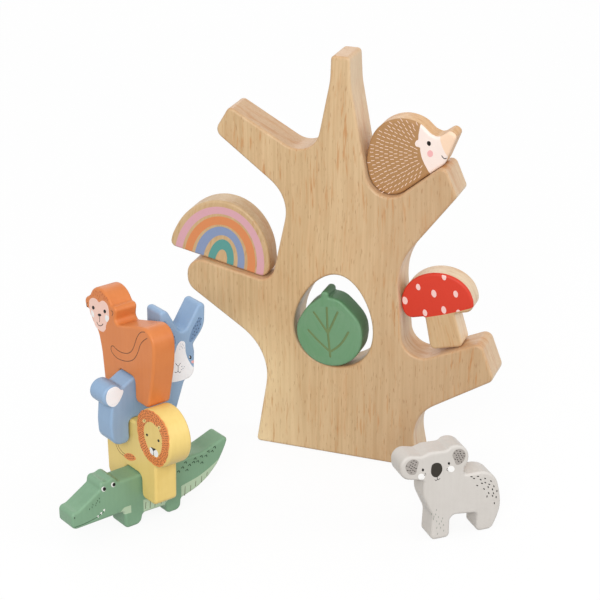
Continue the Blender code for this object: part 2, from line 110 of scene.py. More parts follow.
# %% Read an outline
TURNS = {
    "tree": 0, "leaf": 0, "rainbow": 0, "hedgehog": 0, "mushroom": 0,
    "crocodile": 58, "lion": -32, "rabbit": 58, "monkey": -32, "koala": 40.8,
}
TILTS = {"rainbow": -11.5, "hedgehog": 39.6, "mushroom": 14}
PACKED_ROUNDING = 0.002
SAME_PLACE = 1e-5
SHARP_CORNER = math.radians(32)
FINE_TURN = math.radians(4)


class Board:
    """One board: its name, its frame in the world, its thickness and its outlines."""

    def __init__(self, name):
        self.name = name
        turn, tilt = math.radians(TURNS[name]), math.radians(TILTS.get(name, 0))
        upright = Matrix.Rotation(turn, 4, "Z") @ Matrix.Rotation(math.pi / 2, 4, "X")
        self.frame = upright @ Matrix.Rotation(tilt, 4, "Z")
        mesh = bmesh.new()
        mesh.from_mesh(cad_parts[name].data)
        bmesh.ops.remove_doubles(mesh, verts=mesh.verts, dist=SAME_PLACE)
        mesh.transform(self.frame.inverted())
        lows = [min(vert.co[i] for vert in mesh.verts) for i in range(3)]
        highs = [max(vert.co[i] for vert in mesh.verts) for i in range(3)]
        middle = Vector(low / 2 + high / 2 for low, high in zip(lows, highs))
        mesh.transform(Matrix.Translation(-middle))
        self.frame = self.frame @ Matrix.Translation(middle)
        self.thickness = highs[2] - lows[2]
        self.face = self.thickness / 2
        self.outlines = [smooth_outline(loop) for loop in self.rim_loops(mesh)]
        mesh.free()

    def rim_loops(self, mesh):
        """The closed loops of corners where the side of the board meets its rounded front edge."""
        height = self.face - PACKED_ROUNDING
        rim = [vert for vert in mesh.verts if abs(vert.co.z - height) < SAME_PLACE]
        loops = []
        while rim:
            vert = rim.pop()
            loop = []
            while vert:
                loop.append(vert.co.xy.copy())
                ahead = [edge.other_vert(vert) for edge in vert.link_edges]
                vert = next((other for other in ahead if other in rim), None)
                if vert:
                    rim.remove(vert)
            loops.append(loop)
        return loops

    def spot(self, pixel):
        """The place on the board's face that the photograph shows at a pixel."""
        turned = self.frame.inverted()
        start = turned @ CAMERA_PLACE
        direction = turned.to_3x3() @ ray_through(pixel)
        return (start + direction * (self.face - start.z) / direction.z).xy

    def spots(self, pixels):
        return [self.spot(pixel) for pixel in pixels]


def cubic(controls, steps):
    """The places along a cubic curve between two ends, without the last one."""
    return [point.xy for point in interpolate_bezier(*(c.to_3d() for c in controls), steps + 1)[:-1]]


def smooth_outline(corners):
    """The same outline in fine steps: cubic curves through its corners, straight where it is straight."""
    count = len(corners)
    sides = [corners[(i + 1) % count] - corner for i, corner in enumerate(corners)]
    starts, ends = [], []
    for i, side in enumerate(sides):
        before = sides[i - 1]
        sharp = abs(before.angle_signed(side)) > SHARP_CORNER
        shared = (before + side).normalized()
        starts.append(side.normalized() if sharp else shared)
        ends.append(before.normalized() if sharp else shared)
    points = []
    for i, (corner, side) in enumerate(zip(corners, sides)):
        start, end = starts[i], ends[(i + 1) % count]
        steps = max(1, math.ceil(abs(start.angle_signed(end)) / FINE_TURN))
        third = side.length / 3
        points += cubic((corner, corner + start * third, corner + side - end * third, corner + side), steps)
    return points


boards = {name: Board(name) for name in TURNS}
for board in boards.values():
    print(f"{board.name}: {board.thickness / MM:.0f} mm thick, {[len(o) for o in board.outlines]} points")

# %% [markdown]
# ## Sawing and rounding
#
# A flat curve is Blender's own saw and router: it fills an outline, extrudes it to the board's thickness
# and rounds both edges. The curve is then made a mesh and put in its place. Every point keeps its place
# in the board's own frame, how far it is towards the edge and how much it faces along the fibres, so
# that grain, wear and the painted light and shade on the sawn sides can follow the board and not the
# world.

# %% Cut the boards
EDGE_ROUNDING = 0.0017
ROUNDING_STEPS = 4


def flat_shape(name, outlines, thickness, rounding=0):
    """A mesh of filled outlines with some thickness, about Z = 0."""
    curve = bpy.data.curves.new(name, "CURVE")
    curve.dimensions = "2D"
    curve.fill_mode = "BOTH"
    curve.extrude = thickness / 2 - rounding
    curve.bevel_depth = rounding
    curve.bevel_resolution = ROUNDING_STEPS
    curve.offset = -rounding
    for outline in outlines:
        spline = curve.splines.new("POLY")
        spline.points.add(len(outline) - 1)
        for point, place in zip(spline.points, outline):
            point.co = (*place, 0, 1)
        spline.use_cyclic_u = True
    drawn = bpy.data.objects.new(name, curve)
    mesh = bpy.data.meshes.new_from_object(drawn)
    bpy.data.objects.remove(drawn)
    bpy.data.curves.remove(curve)
    weld(mesh)
    return mesh


def weld(mesh):
    """Joins the rims of the sides to the faces, and turns every face outward."""
    shape = bmesh.new()
    shape.from_mesh(mesh)
    bmesh.ops.remove_doubles(shape, verts=shape.verts, dist=SAME_PLACE / 10)
    bmesh.ops.recalc_face_normals(shape, faces=shape.faces)
    shape.to_mesh(mesh)
    shape.free()


def as_mesh(thing):
    """Gives an object a plain mesh with its modifiers applied, in place of its old one."""
    graph = bpy.context.evaluated_depsgraph_get()
    mesh = bpy.data.meshes.new_from_object(thing.evaluated_get(graph))
    thing.modifiers.clear()
    thing.data = mesh


def note(mesh, name, values, kind="FLOAT"):
    """Writes down a number, or a place, for every point of a mesh."""
    attribute = mesh.attributes.new(name, kind, "POINT")
    attribute.data.foreach_set("value" if kind == "FLOAT" else "vector", values)


def finish_piece(thing, board, material):
    """Puts a piece made in a board's frame in its place, with its material, riding on its body."""
    mesh = thing.data
    flat = board.face - EDGE_ROUNDING
    heights = [max(0, abs(vert.co.z) - flat) / EDGE_ROUNDING for vert in mesh.vertices]
    note(mesh, "board", [value for vert in mesh.vertices for value in vert.co], "FLOAT_VECTOR")
    note(mesh, "edge", [1 - min(1, height) for height in heights])
    note(mesh, "end", [abs(vert.normal.y) for vert in mesh.vertices])
    mesh.transform(board.frame)
    mesh.materials.clear()
    mesh.materials.append(material)
    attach(thing, board.name)


def even_shading(thing):
    """Smooth shading that leaves large flat faces flat."""
    thing.data.shade_smooth()
    thing.modifiers.new("normals", "WEIGHTED_NORMAL").keep_sharp = True
    as_mesh(thing)


# %% [markdown]
# ## Writing a finish
#
# A material is a recipe of nodes. Two small classes make it read like arithmetic: a Value is what comes
# out of a node, and adding or multiplying it adds the Math node that does so. A Recipe is a tree of
# nodes. Its method add makes any node, sets it up and feeds its sockets, and the others are short ways
# to call it. A Finish is the recipe of one material.

# %% Values and finishes
class Value:
    """What comes out of a node: a number, a place or a colour."""

    def __init__(self, recipe, socket):
        self.recipe = recipe
        self.socket = socket

    def maths(self, operation, *others):
        return self.recipe.add("ShaderNodeMath", dict(enumerate((self, *others))), operation=operation)

    def __add__(self, other):
        return self.maths("ADD", other)

    def __sub__(self, other):
        return self.maths("SUBTRACT", other)

    def __mul__(self, other):
        return self.maths("MULTIPLY", other)

    def __truediv__(self, other):
        return self.maths("DIVIDE", other)

    def xy(self):
        """The first two numbers of a place."""
        return [self.recipe.add("ShaderNodeSeparateXYZ", {"Vector": self}, axis) for axis in "XY"]

    def ramp(self, low, high, start=0, end=1):
        """From start to end while this goes from low to high, and no further."""
        sockets = {"Value": self, "From Min": low, "From Max": high, "To Min": start, "To Max": end}
        return self.recipe.add("ShaderNodeMapRange", sockets, interpolation_type="SMOOTHSTEP")


class Recipe:
    """A tree of nodes under construction."""

    def __init__(self, tree):
        self.tree = tree

    def add(self, kind, sockets, output=0, **settings):
        """Adds a node, sets it up, and feeds its sockets with values or with what other nodes give."""
        node = self.tree.nodes.new(kind)
        for name, value in settings.items():
            setattr(node, name, value)
        for key, value in sockets.items():
            self.feed(node.inputs[key], value)
        return Value(self, node.outputs[output])

    def feed(self, socket, value):
        if isinstance(value, Value):
            self.tree.links.new(value.socket, socket)
        else:
            socket.default_value = value

    def vector(self, operation, first, second):
        return self.add("ShaderNodeVectorMath", {0: first, 1: second}, operation=operation)

    def xyz(self, x=0.0, y=0.0, z=0.0):
        return self.add("ShaderNodeCombineXYZ", {"X": x, "Y": y, "Z": z})


class Finish(Recipe):
    """A material under construction."""

    def __init__(self, name):
        self.material = bpy.data.materials.new(name)
        self.material.use_nodes = True
        super().__init__(self.material.node_tree)
        self.surface = self.tree.nodes["Principled BSDF"]

    def shade(self, **sockets):
        """Feeds the shader's own sockets, such as Base_Color for Base Color."""
        for name, value in sockets.items():
            self.feed(self.surface.inputs[name.replace("_", " ")], value)
        return self.material

    def noted(self, name, output="Fac"):
        """What is written down for each point."""
        return self.add("ShaderNodeAttribute", {}, output, attribute_name=name)

    def moved(self, place, **sockets):
        """A place moved by a Location or stretched by a Scale."""
        return self.add("ShaderNodeMapping", {"Vector": place, **sockets})

    def start(self, seed):
        """Places in the board's frame, moved so that no two finishes are alike."""
        return self.moved(self.noted("board", "Vector"), Location=(seed, 0, seed))

    def noise(self, place, scale, detail=2, roughness=0.5, distortion=0):
        sockets = {"Vector": place, "Scale": scale, "Detail": detail, "Roughness": roughness}
        return self.add("ShaderNodeTexNoise", {**sockets, "Distortion": distortion})

    def mix(self, share, first, second):
        """Two colours, mixed by a share."""
        return self.add("ShaderNodeMix", {0: share, 6: first, 7: second}, 2, data_type="RGBA")

    def bump(self, height, distance):
        return self.add("ShaderNodeBump", {"Height": height, "Distance": distance, "Strength": 1})


def colour(red, green, blue, share=1):
    """A colour read from the photograph on the usual scale to 255, as light or as a share of it."""
    shown = [value / 255 for value in (red, green, blue)]
    light = [s / 12.92 if s <= 0.04045 else ((s + 0.055) / 1.055) ** 2.4 for s in shown]
    return (*(value * share for value in light), 1)


# %% [markdown]
# ## Bare wood under clear lacquer
#
# The tree is pale hardwood, sanded, sealed and left its own colour. Its fibres run up the board, so
# every pattern is noise that is stretched along the board's Y, on places that sway a little so that no
# line is ruled. Broad bands are the growth rings cut lengthways, thin streaks are darker fibres, and the
# short dark dashes are pores. All of them fill the board's whole depth. The sawn sides show flat rings
# too, and where the saw went across the fibres the wood drinks more lacquer and turns darker. The sawn
# sides are also painted paler than the faces, as painted light. The tree's wide board also has a pinker
# side, nearer the heart of the trunk, and a pale patch low on the left, painted light where the stacked
# animals shade the tree.

# %% Wood
# The sawn sides' colour is painted light, which makes them paler than the faces.
PAINTED_SIDE_LIGHT = colour(247, 228, 200)
WOOD_END = colour(192, 138, 88)
WOOD_HEART = colour(184, 148, 116)
# This pale colour is painted light, put low on the tree's left where the stacked animals shade it.
PAINTED_LIGHT_LOW_LEFT = colour(254, 228, 180)
WOOD_STREAK = colour(194, 132, 74)
WOOD_PORE = colour(158, 104, 56)
SWAY = 0.008
WANDER = 0.03
PORE_DEPTH = 0.00008


def wood(name, pale, seed, dark=(201, 168, 124), side=0.35, end_grain=0.0, heartwood_and_painted_light=0.0):
    """Clear-lacquered wood with its fibres along the board's Y, painted light on the sawn sides and darker
    ends.
    """
    finish = Finish(name)
    across, up = finish.noted("board", "Vector").xy()
    place = finish.start(seed)
    sway = (finish.noise(place, 9, 1) - 0.5) * SWAY
    place = finish.vector("ADD", place, finish.xyz(sway))

    def along(scale_across, stretch, detail, roughness=0.5, distortion=0):
        stretched = finish.moved(place, Scale=(1, 1 / stretch, 1))
        return finish.noise(stretched, scale_across, detail, roughness, distortion)

    bands = along(48, 9, 3, 0.55, 0.4)
    fibres = along(520, 40, 4, 0.65)
    streaks = along(640, 13, 2, 0.6, 0.2)
    pores = along(1500, 10, 1).ramp(0.66, 0.74)
    clouds = finish.noise(place, 14)
    rings = finish.noise(finish.moved(place, Scale=(0.2, 0.09, 1)), 230, 4, 0.65, 0.3)
    edge = finish.noted("edge")
    ends = finish.noted("end") * end_grain

    tone = bands.ramp(0.34, 0.66) * 0.45 + fibres.ramp(0.38, 0.62) * 0.55
    across = across + (bands - 0.5) * WANDER
    heartwood = across.ramp(-0.02, 0.06) * (edge * -0.7 + 1)
    # Painted light low on the tree's left, where the stacked animals shade it.
    low_left_light = across.ramp(-0.015, -0.055) * up.ramp(-0.03, -0.09)
    red_fibres = streaks.ramp(0.56, 0.70) * clouds.ramp(0.38, 0.62, 0.35, 1)
    flat_rings = rings.ramp(0.46, 0.68) * (edge * 0.3 + ends * 0.5 + 0.12)
    base = finish.mix(tone, colour(*pale), colour(*dark))
    # Painted light: the sawn sides are mixed towards a paler colour by the side share.
    for share, shade in (
        (heartwood * heartwood_and_painted_light * 0.4, WOOD_HEART), (low_left_light * heartwood_and_painted_light * 0.7, PAINTED_LIGHT_LOW_LEFT),
        (red_fibres * 0.7, WOOD_STREAK), (pores * 0.45, WOOD_PORE), (edge * side, PAINTED_SIDE_LIGHT),
        (ends, WOOD_END), (flat_rings, WOOD_STREAK),
    ):
        base = finish.mix(share, base, shade)
    gloss = fibres.ramp(0.3, 0.7, 0.40, 0.50) + pores * 0.12
    relief = finish.bump(fibres * 0.4 - pores, PORE_DEPTH)
    lacquer = {"Coat_Weight": 0.15, "Coat_Roughness": 0.3, "Specular_IOR_Level": 0.4}
    return finish.shade(Base_Color=base, Roughness=gloss, Normal=relief, **lacquer)


# Each side share is how much painted light makes that board's sawn sides paler.
finishes = {
    "tree": wood("tree_wood", (221, 190, 147), 0.31, end_grain=0.5, heartwood_and_painted_light=1),
    "rainbow": wood("rainbow_wood", (212, 181, 139), 0.77, side=0.05),
    "hedgehog": wood("hedgehog_wood", (226, 184, 134), 1.13, dark=(208, 160, 108), side=0),
    "mushroom": wood("mushroom_wood", (212, 181, 140), 1.59, side=0.55),
}
print("bare wood:", ", ".join(finishes))

# %% [markdown]
# ## Satin paint on wood
#
# The animals are sprayed in one colour. The coat is thin, so the fibres still show through as faint
# lines, and it is thinnest on the rounded edges. Fine specks in the roughness are what the spray gun
# leaves behind. The leaf's and the monkey's sawn sides are also painted darker, as painted shade.

# %% Paint
DENT_DEPTH = 0.00006
# Share of the second colour's light that the sawn sides keep where painted shade darkens them.
PAINTED_SIDE_SHADE = 0.5


def paint(name, body, thin_and_side_shade, seed, side=0.0):
    """Satin paint over wood, with a second colour for thin places and for painted shade on the sawn sides."""
    finish = Finish(name)
    place = finish.start(seed)
    fibres = finish.noise(finish.moved(place, Scale=(1, 1 / 14, 1)), 520, 3, 0.6)
    clouds = finish.noise(place, 45, 3)
    specks = finish.noise(place, 2600)
    dents = finish.noise(place, 130)
    edge = finish.noted("edge")
    thin = edge * clouds.ramp(0.45, 0.75)
    tone = fibres.ramp(0.35, 0.75) * 0.2 + clouds.ramp(0.3, 0.7) * 0.25 + thin * 0.35
    base = finish.mix(tone, colour(*body), colour(*thin_and_side_shade))
    # Painted shade: the sawn sides darken towards half the light of the second colour, by the side share.
    base = finish.mix(edge * side, base, colour(*thin_and_side_shade, PAINTED_SIDE_SHADE))
    gloss = specks.ramp(0.35, 0.65, 0.36, 0.48)
    relief = finish.bump(fibres * 0.5 + specks * 0.25 + dents * 3, DENT_DEPTH)
    satin = {"Coat_Weight": 0.05, "Coat_Roughness": 0.3, "Specular_IOR_Level": 0.3}
    return finish.shade(Base_Color=base, Roughness=gloss, Normal=relief, **satin)


# The fourth number, for the leaf and the monkey, is the share of painted shade on the sawn sides; the leaf's
# second colour is also its painted side shade.
PAINTS = {
    "leaf": ((119, 157, 123), (84, 143, 92), 0.2, 0.6),
    "crocodile": ((130, 167, 136), (116, 152, 122), 0.4),
    "lion": ((240, 211, 130), (226, 194, 108), 0.6),
    "rabbit": ((150, 178, 208), (132, 162, 196), 0.8),
    "monkey": ((225, 137, 76), (211, 119, 60), 1.0, 0.12),
    "koala": ((214, 209, 203), (202, 196, 189), 1.2),
}
finishes.update({name: paint(name + "_paint", *values) for name, values in PAINTS.items()})
print("painted:", ", ".join(PAINTS))

# %% Put the boards in place
for name, board in boards.items():
    piece = add_object(name + "_board", flat_shape(name, board.outlines, board.thickness, EDGE_ROUNDING))
    even_shading(piece)
    finish_piece(piece, board, finishes[name])
    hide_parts(name)
    print(f"{piece.name}: {len(piece.data.polygons)} faces")

# %% [markdown]
# ## Printing
#
# The faces and patterns are screen prints: one thin layer of ink for each colour, pressed on the flat
# face. A print here is a real layer, a few hundredths of a millimetre thick. Its outlines are drawn
# through pixels of the photograph, laid on the board's face. Where a print runs over the edge of the
# face, it is cut out of a copy of the board that is swollen by the ink's thickness, so that it wraps
# round the rounded edge as the real ink does.

# %% Layers of ink
INK_THICKNESS = 0.00005
INK_DEPTH = 0.0004
BLOCK_HEIGHT = 0.001
CURVE_STEPS = 5
CAP_STEPS = 4
OVAL_STEPS = 20
LOBE = 0.03
HAIRLINE, FINEST, FINE, BROAD, BOLD = 0.00028, 0.0003, 0.00035, 0.0004, 0.0005


def through(spots, closed=False):
    """A smooth curve through some places."""
    count = len(spots)
    slopes = []
    for i, spot in enumerate(spots):
        before = spots[i - 1] if closed or i else spot
        after = spots[(i + 1) % count] if closed or i < count - 1 else spot
        slopes.append((after - before) / 6)
    points = []
    for i in range(count if closed else count - 1):
        j = (i + 1) % count
        points += cubic((spots[i], spots[i] + slopes[i], spots[j] - slopes[j], spots[j]), CURVE_STEPS)
    return points if closed else points + spots[-1:]


def ribbon(points, width):
    """The outline of a line of some width, with round ends."""
    rims = ([], [])
    for i, point in enumerate(points):
        ahead = (points[min(i + 1, len(points) - 1)] - points[max(i - 1, 0)]).normalized()
        aside = ahead.orthogonal() * width / 2
        rims[0].append(point + aside)
        rims[1].append(point - aside)
    turns = [Matrix.Rotation(-math.pi * step / CAP_STEPS, 2) for step in range(1, CAP_STEPS)]
    far, near = ([end + turn @ (rim - end) for turn in turns]
                 for end, rim in ((points[-1], rims[0][-1]), (points[0], rims[1][0])))
    return rims[0] + far + rims[1][::-1] + near


def slab(outlines, face, top, depth):
    """A flat shape that reaches from some depth under a face to some height over it."""
    mesh = flat_shape("slab", outlines, top + depth)
    mesh.transform(Matrix.Translation((0, 0, face + (top - depth) / 2)))
    return mesh


class Print:
    """Everything that is printed on one board in one ink."""

    def __init__(self, board, name, ink, layer=1):
        self.board = boards[board]
        self.name = f"{board}_{name}"
        self.ink = ink
        self.top = layer * INK_THICKNESS
        self.shape = bmesh.new()

    def press(self, outlines, top=None, depth=INK_DEPTH):
        """Adds a layer of these outlines, from some depth in the board to its top."""
        mesh = slab(outlines, self.board.face, top or self.top, depth)
        self.shape.from_mesh(mesh)
        bpy.data.meshes.remove(mesh)
        return self

    def patch(self, pixels, corners=(), **heights):
        """A patch with a smooth outline through pixels, or with corners after an open smooth line."""
        spots = through(self.board.spots(pixels), closed=not corners)
        return self.press([spots + self.board.spots(corners)], **heights)

    def over_edge(self, pixels, corners):
        """A patch that runs out over the board's edge at its corners, and wraps round it."""
        return self.patch(pixels, corners, top=BLOCK_HEIGHT, depth=EDGE_ROUNDING)

    def oval(self, pixel, across, up, lean=0):
        """An oval that leans to the right by some degrees."""
        lean = Matrix.Rotation(math.radians(lean), 2)
        angles = [math.tau * step / OVAL_STEPS for step in range(OVAL_STEPS)]
        spokes = [Vector((across * math.cos(a), up * math.sin(a))) for a in angles]
        return self.patch([Vector(pixel) + lean @ spoke for spoke in spokes])

    def ring(self, pixels, hole):
        """A ring whose outline has a small lobe between every two pixels."""
        outer, inner = self.board.spots(pixels), self.board.spots(hole)
        middle = sum(outer, Vector((0, 0))) / len(outer)
        lobes = [LOBE * math.sin(math.pi * step / CURVE_STEPS) for step in range(CURVE_STEPS)]
        rim = [spot.lerp(middle, -lobes[i % CURVE_STEPS]) for i, spot in enumerate(through(outer, True))]
        return self.press([rim, through(inner, closed=True)])

    def lines(self, width, *paths):
        for path in paths:
            self.press([ribbon(through(self.board.spots(path)), width)])
        return self

    def finish(self, wrapped=False):
        mesh = bpy.data.meshes.new(self.name)
        self.shape.to_mesh(mesh)
        self.shape.free()
        piece = add_object(self.name, mesh)
        if wrapped:
            self.wrap(piece)
        piece.data.shade_smooth()
        piece.data.set_sharp_from_angle(angle=SHARP_CORNER)
        settle(piece, self.board, self.ink)

    def wrap(self, piece):
        """Keeps only what lies inside the swollen board."""
        mesh = flat_shape("swollen", self.board.outlines, self.board.thickness, EDGE_ROUNDING)
        normals = [vert.normal.copy() for vert in mesh.vertices]
        for vert, normal in zip(mesh.vertices, normals):
            vert.co += normal * self.top
        cut_with(piece, add_object("swollen", mesh), "INTERSECT", "MANIFOLD")


def cut_with(thing, cutter, operation, solver):
    """Cuts an object with another one, which is then thrown away."""
    cut = thing.modifiers.new("cut", "BOOLEAN")
    cut.operation, cut.solver, cut.object = operation, solver, cutter
    if solver == "EXACT":
        cut.material_mode = "TRANSFER"
    as_mesh(thing)
    bpy.data.objects.remove(cutter)


def settle(piece, board, ink):
    """Puts a finished print in its place and in its board's slot."""
    finish_piece(piece, board, ink)
    print(f"{piece.name}: {len(piece.data.polygons)} faces")


# %% [markdown]
# Ink is duller than the lacquer round it. It fills the pores unevenly, so the colour under it shows
# through in fine specks, and it is a little thinner along the fibres.

# %% Inks
SPECK_DEPTH = 0.00003


def ink(name, ink_colour, under, seed=0.0, shine=0.3):
    """Printed ink, with specks of the colour under it."""
    finish = Finish(name)
    place = finish.start(seed)
    specks = finish.noise(place, 2400)
    fibres = finish.noise(finish.moved(place, Scale=(1, 1 / 5, 1)), 900)
    thin = (specks * 0.6 + fibres * 0.4).ramp(0.54, 0.70)
    base = finish.mix(thin * 0.45, colour(*ink_colour), colour(*under))
    gloss = specks.ramp(0.3, 0.7, 0.42, 0.56)
    relief = finish.bump(specks + fibres, SPECK_DEPTH)
    return finish.shade(Base_Color=base, Roughness=gloss, Normal=relief, Specular_IOR_Level=shine)


BLACK = ink("black_ink", (30, 27, 26), (52, 48, 45), shine=0.15)
WHITE = ink("white_ink", (250, 249, 247), (236, 233, 229))

# %% [markdown]
# ## Marks that repeat
#
# Quills, mane hairs, freckles and scales are one small mark, printed many times. Geometry Nodes suit
# them: a tree lays out points, turns each one about a centre and puts a copy of the mark there. One
# tree makes rows, as rings about the centre, and keeps only the marks whose middle lies over a region.
# The other tree puts a mark on each given place. Both end in the same nodes, so they share a method.

# %% Two trees of marks
MARK_INPUTS = {
    "Geometry": "Geometry", "Mark": "Object", "Ink": "Material", "Centre": "Vector", "Seed": "Int",
    "Turn": "Float", "Sway": "Float",
}
ROW_INPUTS = {
    "Rows": "Int", "Marks": "Int", "First Radius": "Float", "Row Step": "Float", "Mark Step": "Float",
    "Middle Angle": "Float", "Shift": "Float",
}


class Grower(Recipe):
    """A geometry nodes tree under construction."""

    def __init__(self, name, inputs):
        super().__init__(bpy.data.node_groups.new(name, "GeometryNodeTree"))
        self.tree.interface.new_socket("Geometry", in_out="OUTPUT", socket_type="NodeSocketGeometry")
        for socket_name, kind in {**MARK_INPUTS, **inputs}.items():
            self.tree.interface.new_socket(socket_name, in_out="INPUT", socket_type="NodeSocket" + kind)
        self.given = self.tree.nodes.new("NodeGroupInput")

    def input(self, name):
        return Value(self, self.given.outputs[name])

    def wobble(self, name, shift):
        """A random number between minus and plus an input, fixed by the seed."""
        size = self.input(name)
        sockets = {2: size * -1, 3: size, "Seed": self.input("Seed") + shift}
        return self.add("FunctionNodeRandomValue", sockets, 1, data_type="FLOAT")

    def place_marks(self, points):
        """A copy of the mark on each point, pointing away from the centre, realized and inked."""
        position = self.add("GeometryNodeInputPosition", {})
        x, y = self.vector("SUBTRACT", position, self.input("Centre")).xy()
        turned = self.xyz(z=y.maths("ARCTAN2", x) + self.input("Turn") + self.wobble("Sway", 1))
        mark = self.add("GeometryNodeObjectInfo", {"Object": self.input("Mark")}, "Geometry")
        marks = {"Points": points, "Instance": mark, "Rotation": turned}
        marks = self.add("GeometryNodeInstanceOnPoints", marks)
        realized = self.add("GeometryNodeRealizeInstances", {"Geometry": marks})
        inked = self.add("GeometryNodeSetMaterial", {"Geometry": realized, "Material": self.input("Ink")})
        self.feed(self.tree.nodes.new("NodeGroupOutput").inputs["Geometry"], inked)
        return self.tree


def rows_tree():
    """Rows of marks round a centre, over the region that the object's own mesh covers."""
    grower = Grower("rows_of_marks", ROW_INPUTS)
    given = grower.input
    index = grower.add("GeometryNodeInputIndex", {})
    row = (index / given("Marks")).maths("FLOOR")
    stagger = row.maths("MODULO", 2) * 0.5
    column = index - row * given("Marks") - given("Marks") * 0.5 + stagger
    radius = given("First Radius") + row * given("Row Step")
    turn = (column * given("Mark Step") + grower.wobble("Shift", 2)) / radius
    reach = radius + grower.wobble("Shift", 3)
    angle = given("Middle Angle") + turn
    spoke = grower.xyz(reach * angle.maths("COSINE"), reach * angle.maths("SINE"))
    place = grower.vector("ADD", spoke, given("Centre"))
    points = grower.add("GeometryNodePoints", {"Count": given("Rows") * given("Marks"), "Position": place})
    high = grower.vector("ADD", place, (0, 0, BLOCK_HEIGHT))
    down = {"Source Position": high, "Ray Direction": (0, 0, -1), "Ray Length": BLOCK_HEIGHT * 2}
    over_region = grower.add("GeometryNodeRaycast", {"Target Geometry": given("Geometry"), **down}, "Is Hit")
    once_round = turn.maths("ABSOLUTE").maths("LESS_THAN", math.pi)
    left_out = (over_region * once_round).maths("LESS_THAN", 0.5)
    sockets = {"Geometry": points, "Selection": left_out}
    return grower.place_marks(grower.add("GeometryNodeDeleteGeometry", sockets, domain="POINT"))


def placed_tree():
    """A mark on each corner of the object's own mesh, turned about a centre."""
    grower = Grower("placed_marks", {})
    sockets = {"Mesh": grower.input("Geometry")}
    return grower.place_marks(grower.add("GeometryNodeMeshToPoints", sockets, mode="VERTICES"))


ROWS, PLACED = rows_tree(), placed_tree()
print("trees:", ROWS.name, PLACED.name)

# %% Marks and where they go
STROKE_STEPS = 3
MARK_SHIFT = 0.0003
MARK_SWAY = 0.1


def mark(outline, layer):
    """One mark, as thin as the ink, to be copied."""
    return add_object("mark", slab([outline], 0, layer * INK_THICKNESS, INK_THICKNESS))


def stroke(length, width, layer=2):
    """A short stroke with round ends, along X."""
    half, radius = (length - width) / 2, width / 2
    angles = [math.pi * (step / STROKE_STEPS - 0.5) for step in range(STROKE_STEPS + 1)]
    spokes = [Vector((half + radius * math.cos(a), radius * math.sin(a))) for a in angles]
    return mark(spokes + [-spoke for spoke in spokes], layer)


def chevron(length, width, opening, layer=2):
    """A small V that points along X."""
    arm = Matrix.Rotation(opening / 2, 2) @ Vector((-length, 0))
    return mark(ribbon([arm, Vector((0, 0)), Vector((arm.x, -arm.y))], width), layer)


def grow(board, name, mesh, tree, centre, shape, print_ink, values):
    """Runs a tree on a mesh, and keeps what it makes as a print, in a plain mesh."""
    piece = add_object(f"{board.name}_{name}", mesh)
    modifier = piece.modifiers.new("marks", "NODES")
    modifier.node_group = tree
    usual = {"Mark": shape, "Ink": print_ink, "Centre": (*board.spot(centre), board.face), "Seed": 1}
    values = {**usual, **values}
    for item in tree.interface.items_tree:
        if item.name in values:
            modifier[item.identifier] = values[item.name]
    as_mesh(piece)
    bpy.data.objects.remove(shape)
    settle(piece, board, print_ink)


def rings_over(spots, centre, row_step, mark_step):
    """How many rings of marks round a centre cover some places, where they start and which way they face."""
    spokes = [spot - centre for spot in spots]
    near, far = min(spoke.length for spoke in spokes), max(spoke.length for spoke in spokes)
    middle = sum(spokes, Vector((0, 0))) / len(spokes)
    inside = middle.length < near / 2
    aside = math.pi if inside else max(abs(middle.angle_signed(spoke)) for spoke in spokes) + mark_step / far
    first = row_step if inside else max(near - row_step, row_step)
    rows, marks = math.ceil((far - first) / row_step) + 1, math.ceil(2 * aside * far / mark_step) + 2
    steps = {"Row Step": row_step, "Mark Step": mark_step, "Middle Angle": math.atan2(middle.y, middle.x)}
    return {"First Radius": first, "Rows": rows, "Marks": marks, **steps}


def print_rows(board, name, region, centre, shape, print_ink, row_step, mark_step, hole=(), **values):
    """Rows of marks over a region given by pixels, in rings round a centre pixel."""
    board = boards[board]
    outlines = [through(board.spots(outline), closed=True) for outline in (region, hole) if outline]
    mesh = flat_shape("region", outlines, INK_THICKNESS)
    mesh.transform(Matrix.Translation((0, 0, board.face)))
    rings = rings_over(board.spots(region), board.spot(centre), row_step, mark_step)
    values = {"Shift": MARK_SHIFT, "Sway": MARK_SWAY, **rings, **values}
    grow(board, name, mesh, ROWS, centre, shape, print_ink, values)


def print_places(board, name, pixels, centre, shape, print_ink, sway=MARK_SWAY, turn=0.0):
    """A mark on each pixel, turned about a centre pixel."""
    board = boards[board]
    mesh = bpy.data.meshes.new("places")
    mesh.from_pydata([(*spot, board.face) for spot in board.spots(pixels)], [], [])
    grow(board, name, mesh, PLACED, centre, shape, print_ink, {"Sway": sway, "Turn": turn})

# %% [markdown]
# ## The hedgehog
#
# Its face is bare-looking pale ink, its back a brown one, and both wrap round the front edge. The sides
# stay natural wood. The quills are rows of pale strokes that all point at the cheek.

# %% Print the hedgehog
HEDGEHOG_BACK = ink("quill_brown_ink", (178, 135, 90), (162, 118, 74), 0.1)
HEDGEHOG_FACE = ink("hedgehog_face_ink", (250, 233, 224), (246, 224, 210), 0.2)
HEDGEHOG_NOSE = ink("hedgehog_nose_ink", (250, 217, 188), (244, 206, 172), 0.3)
PINK_CHEEK = ink("cheek_ink", (244, 182, 182), (240, 170, 168), 0.4)
QUILL = ink("quill_ink", (243, 214, 196), (226, 190, 164), 0.5)

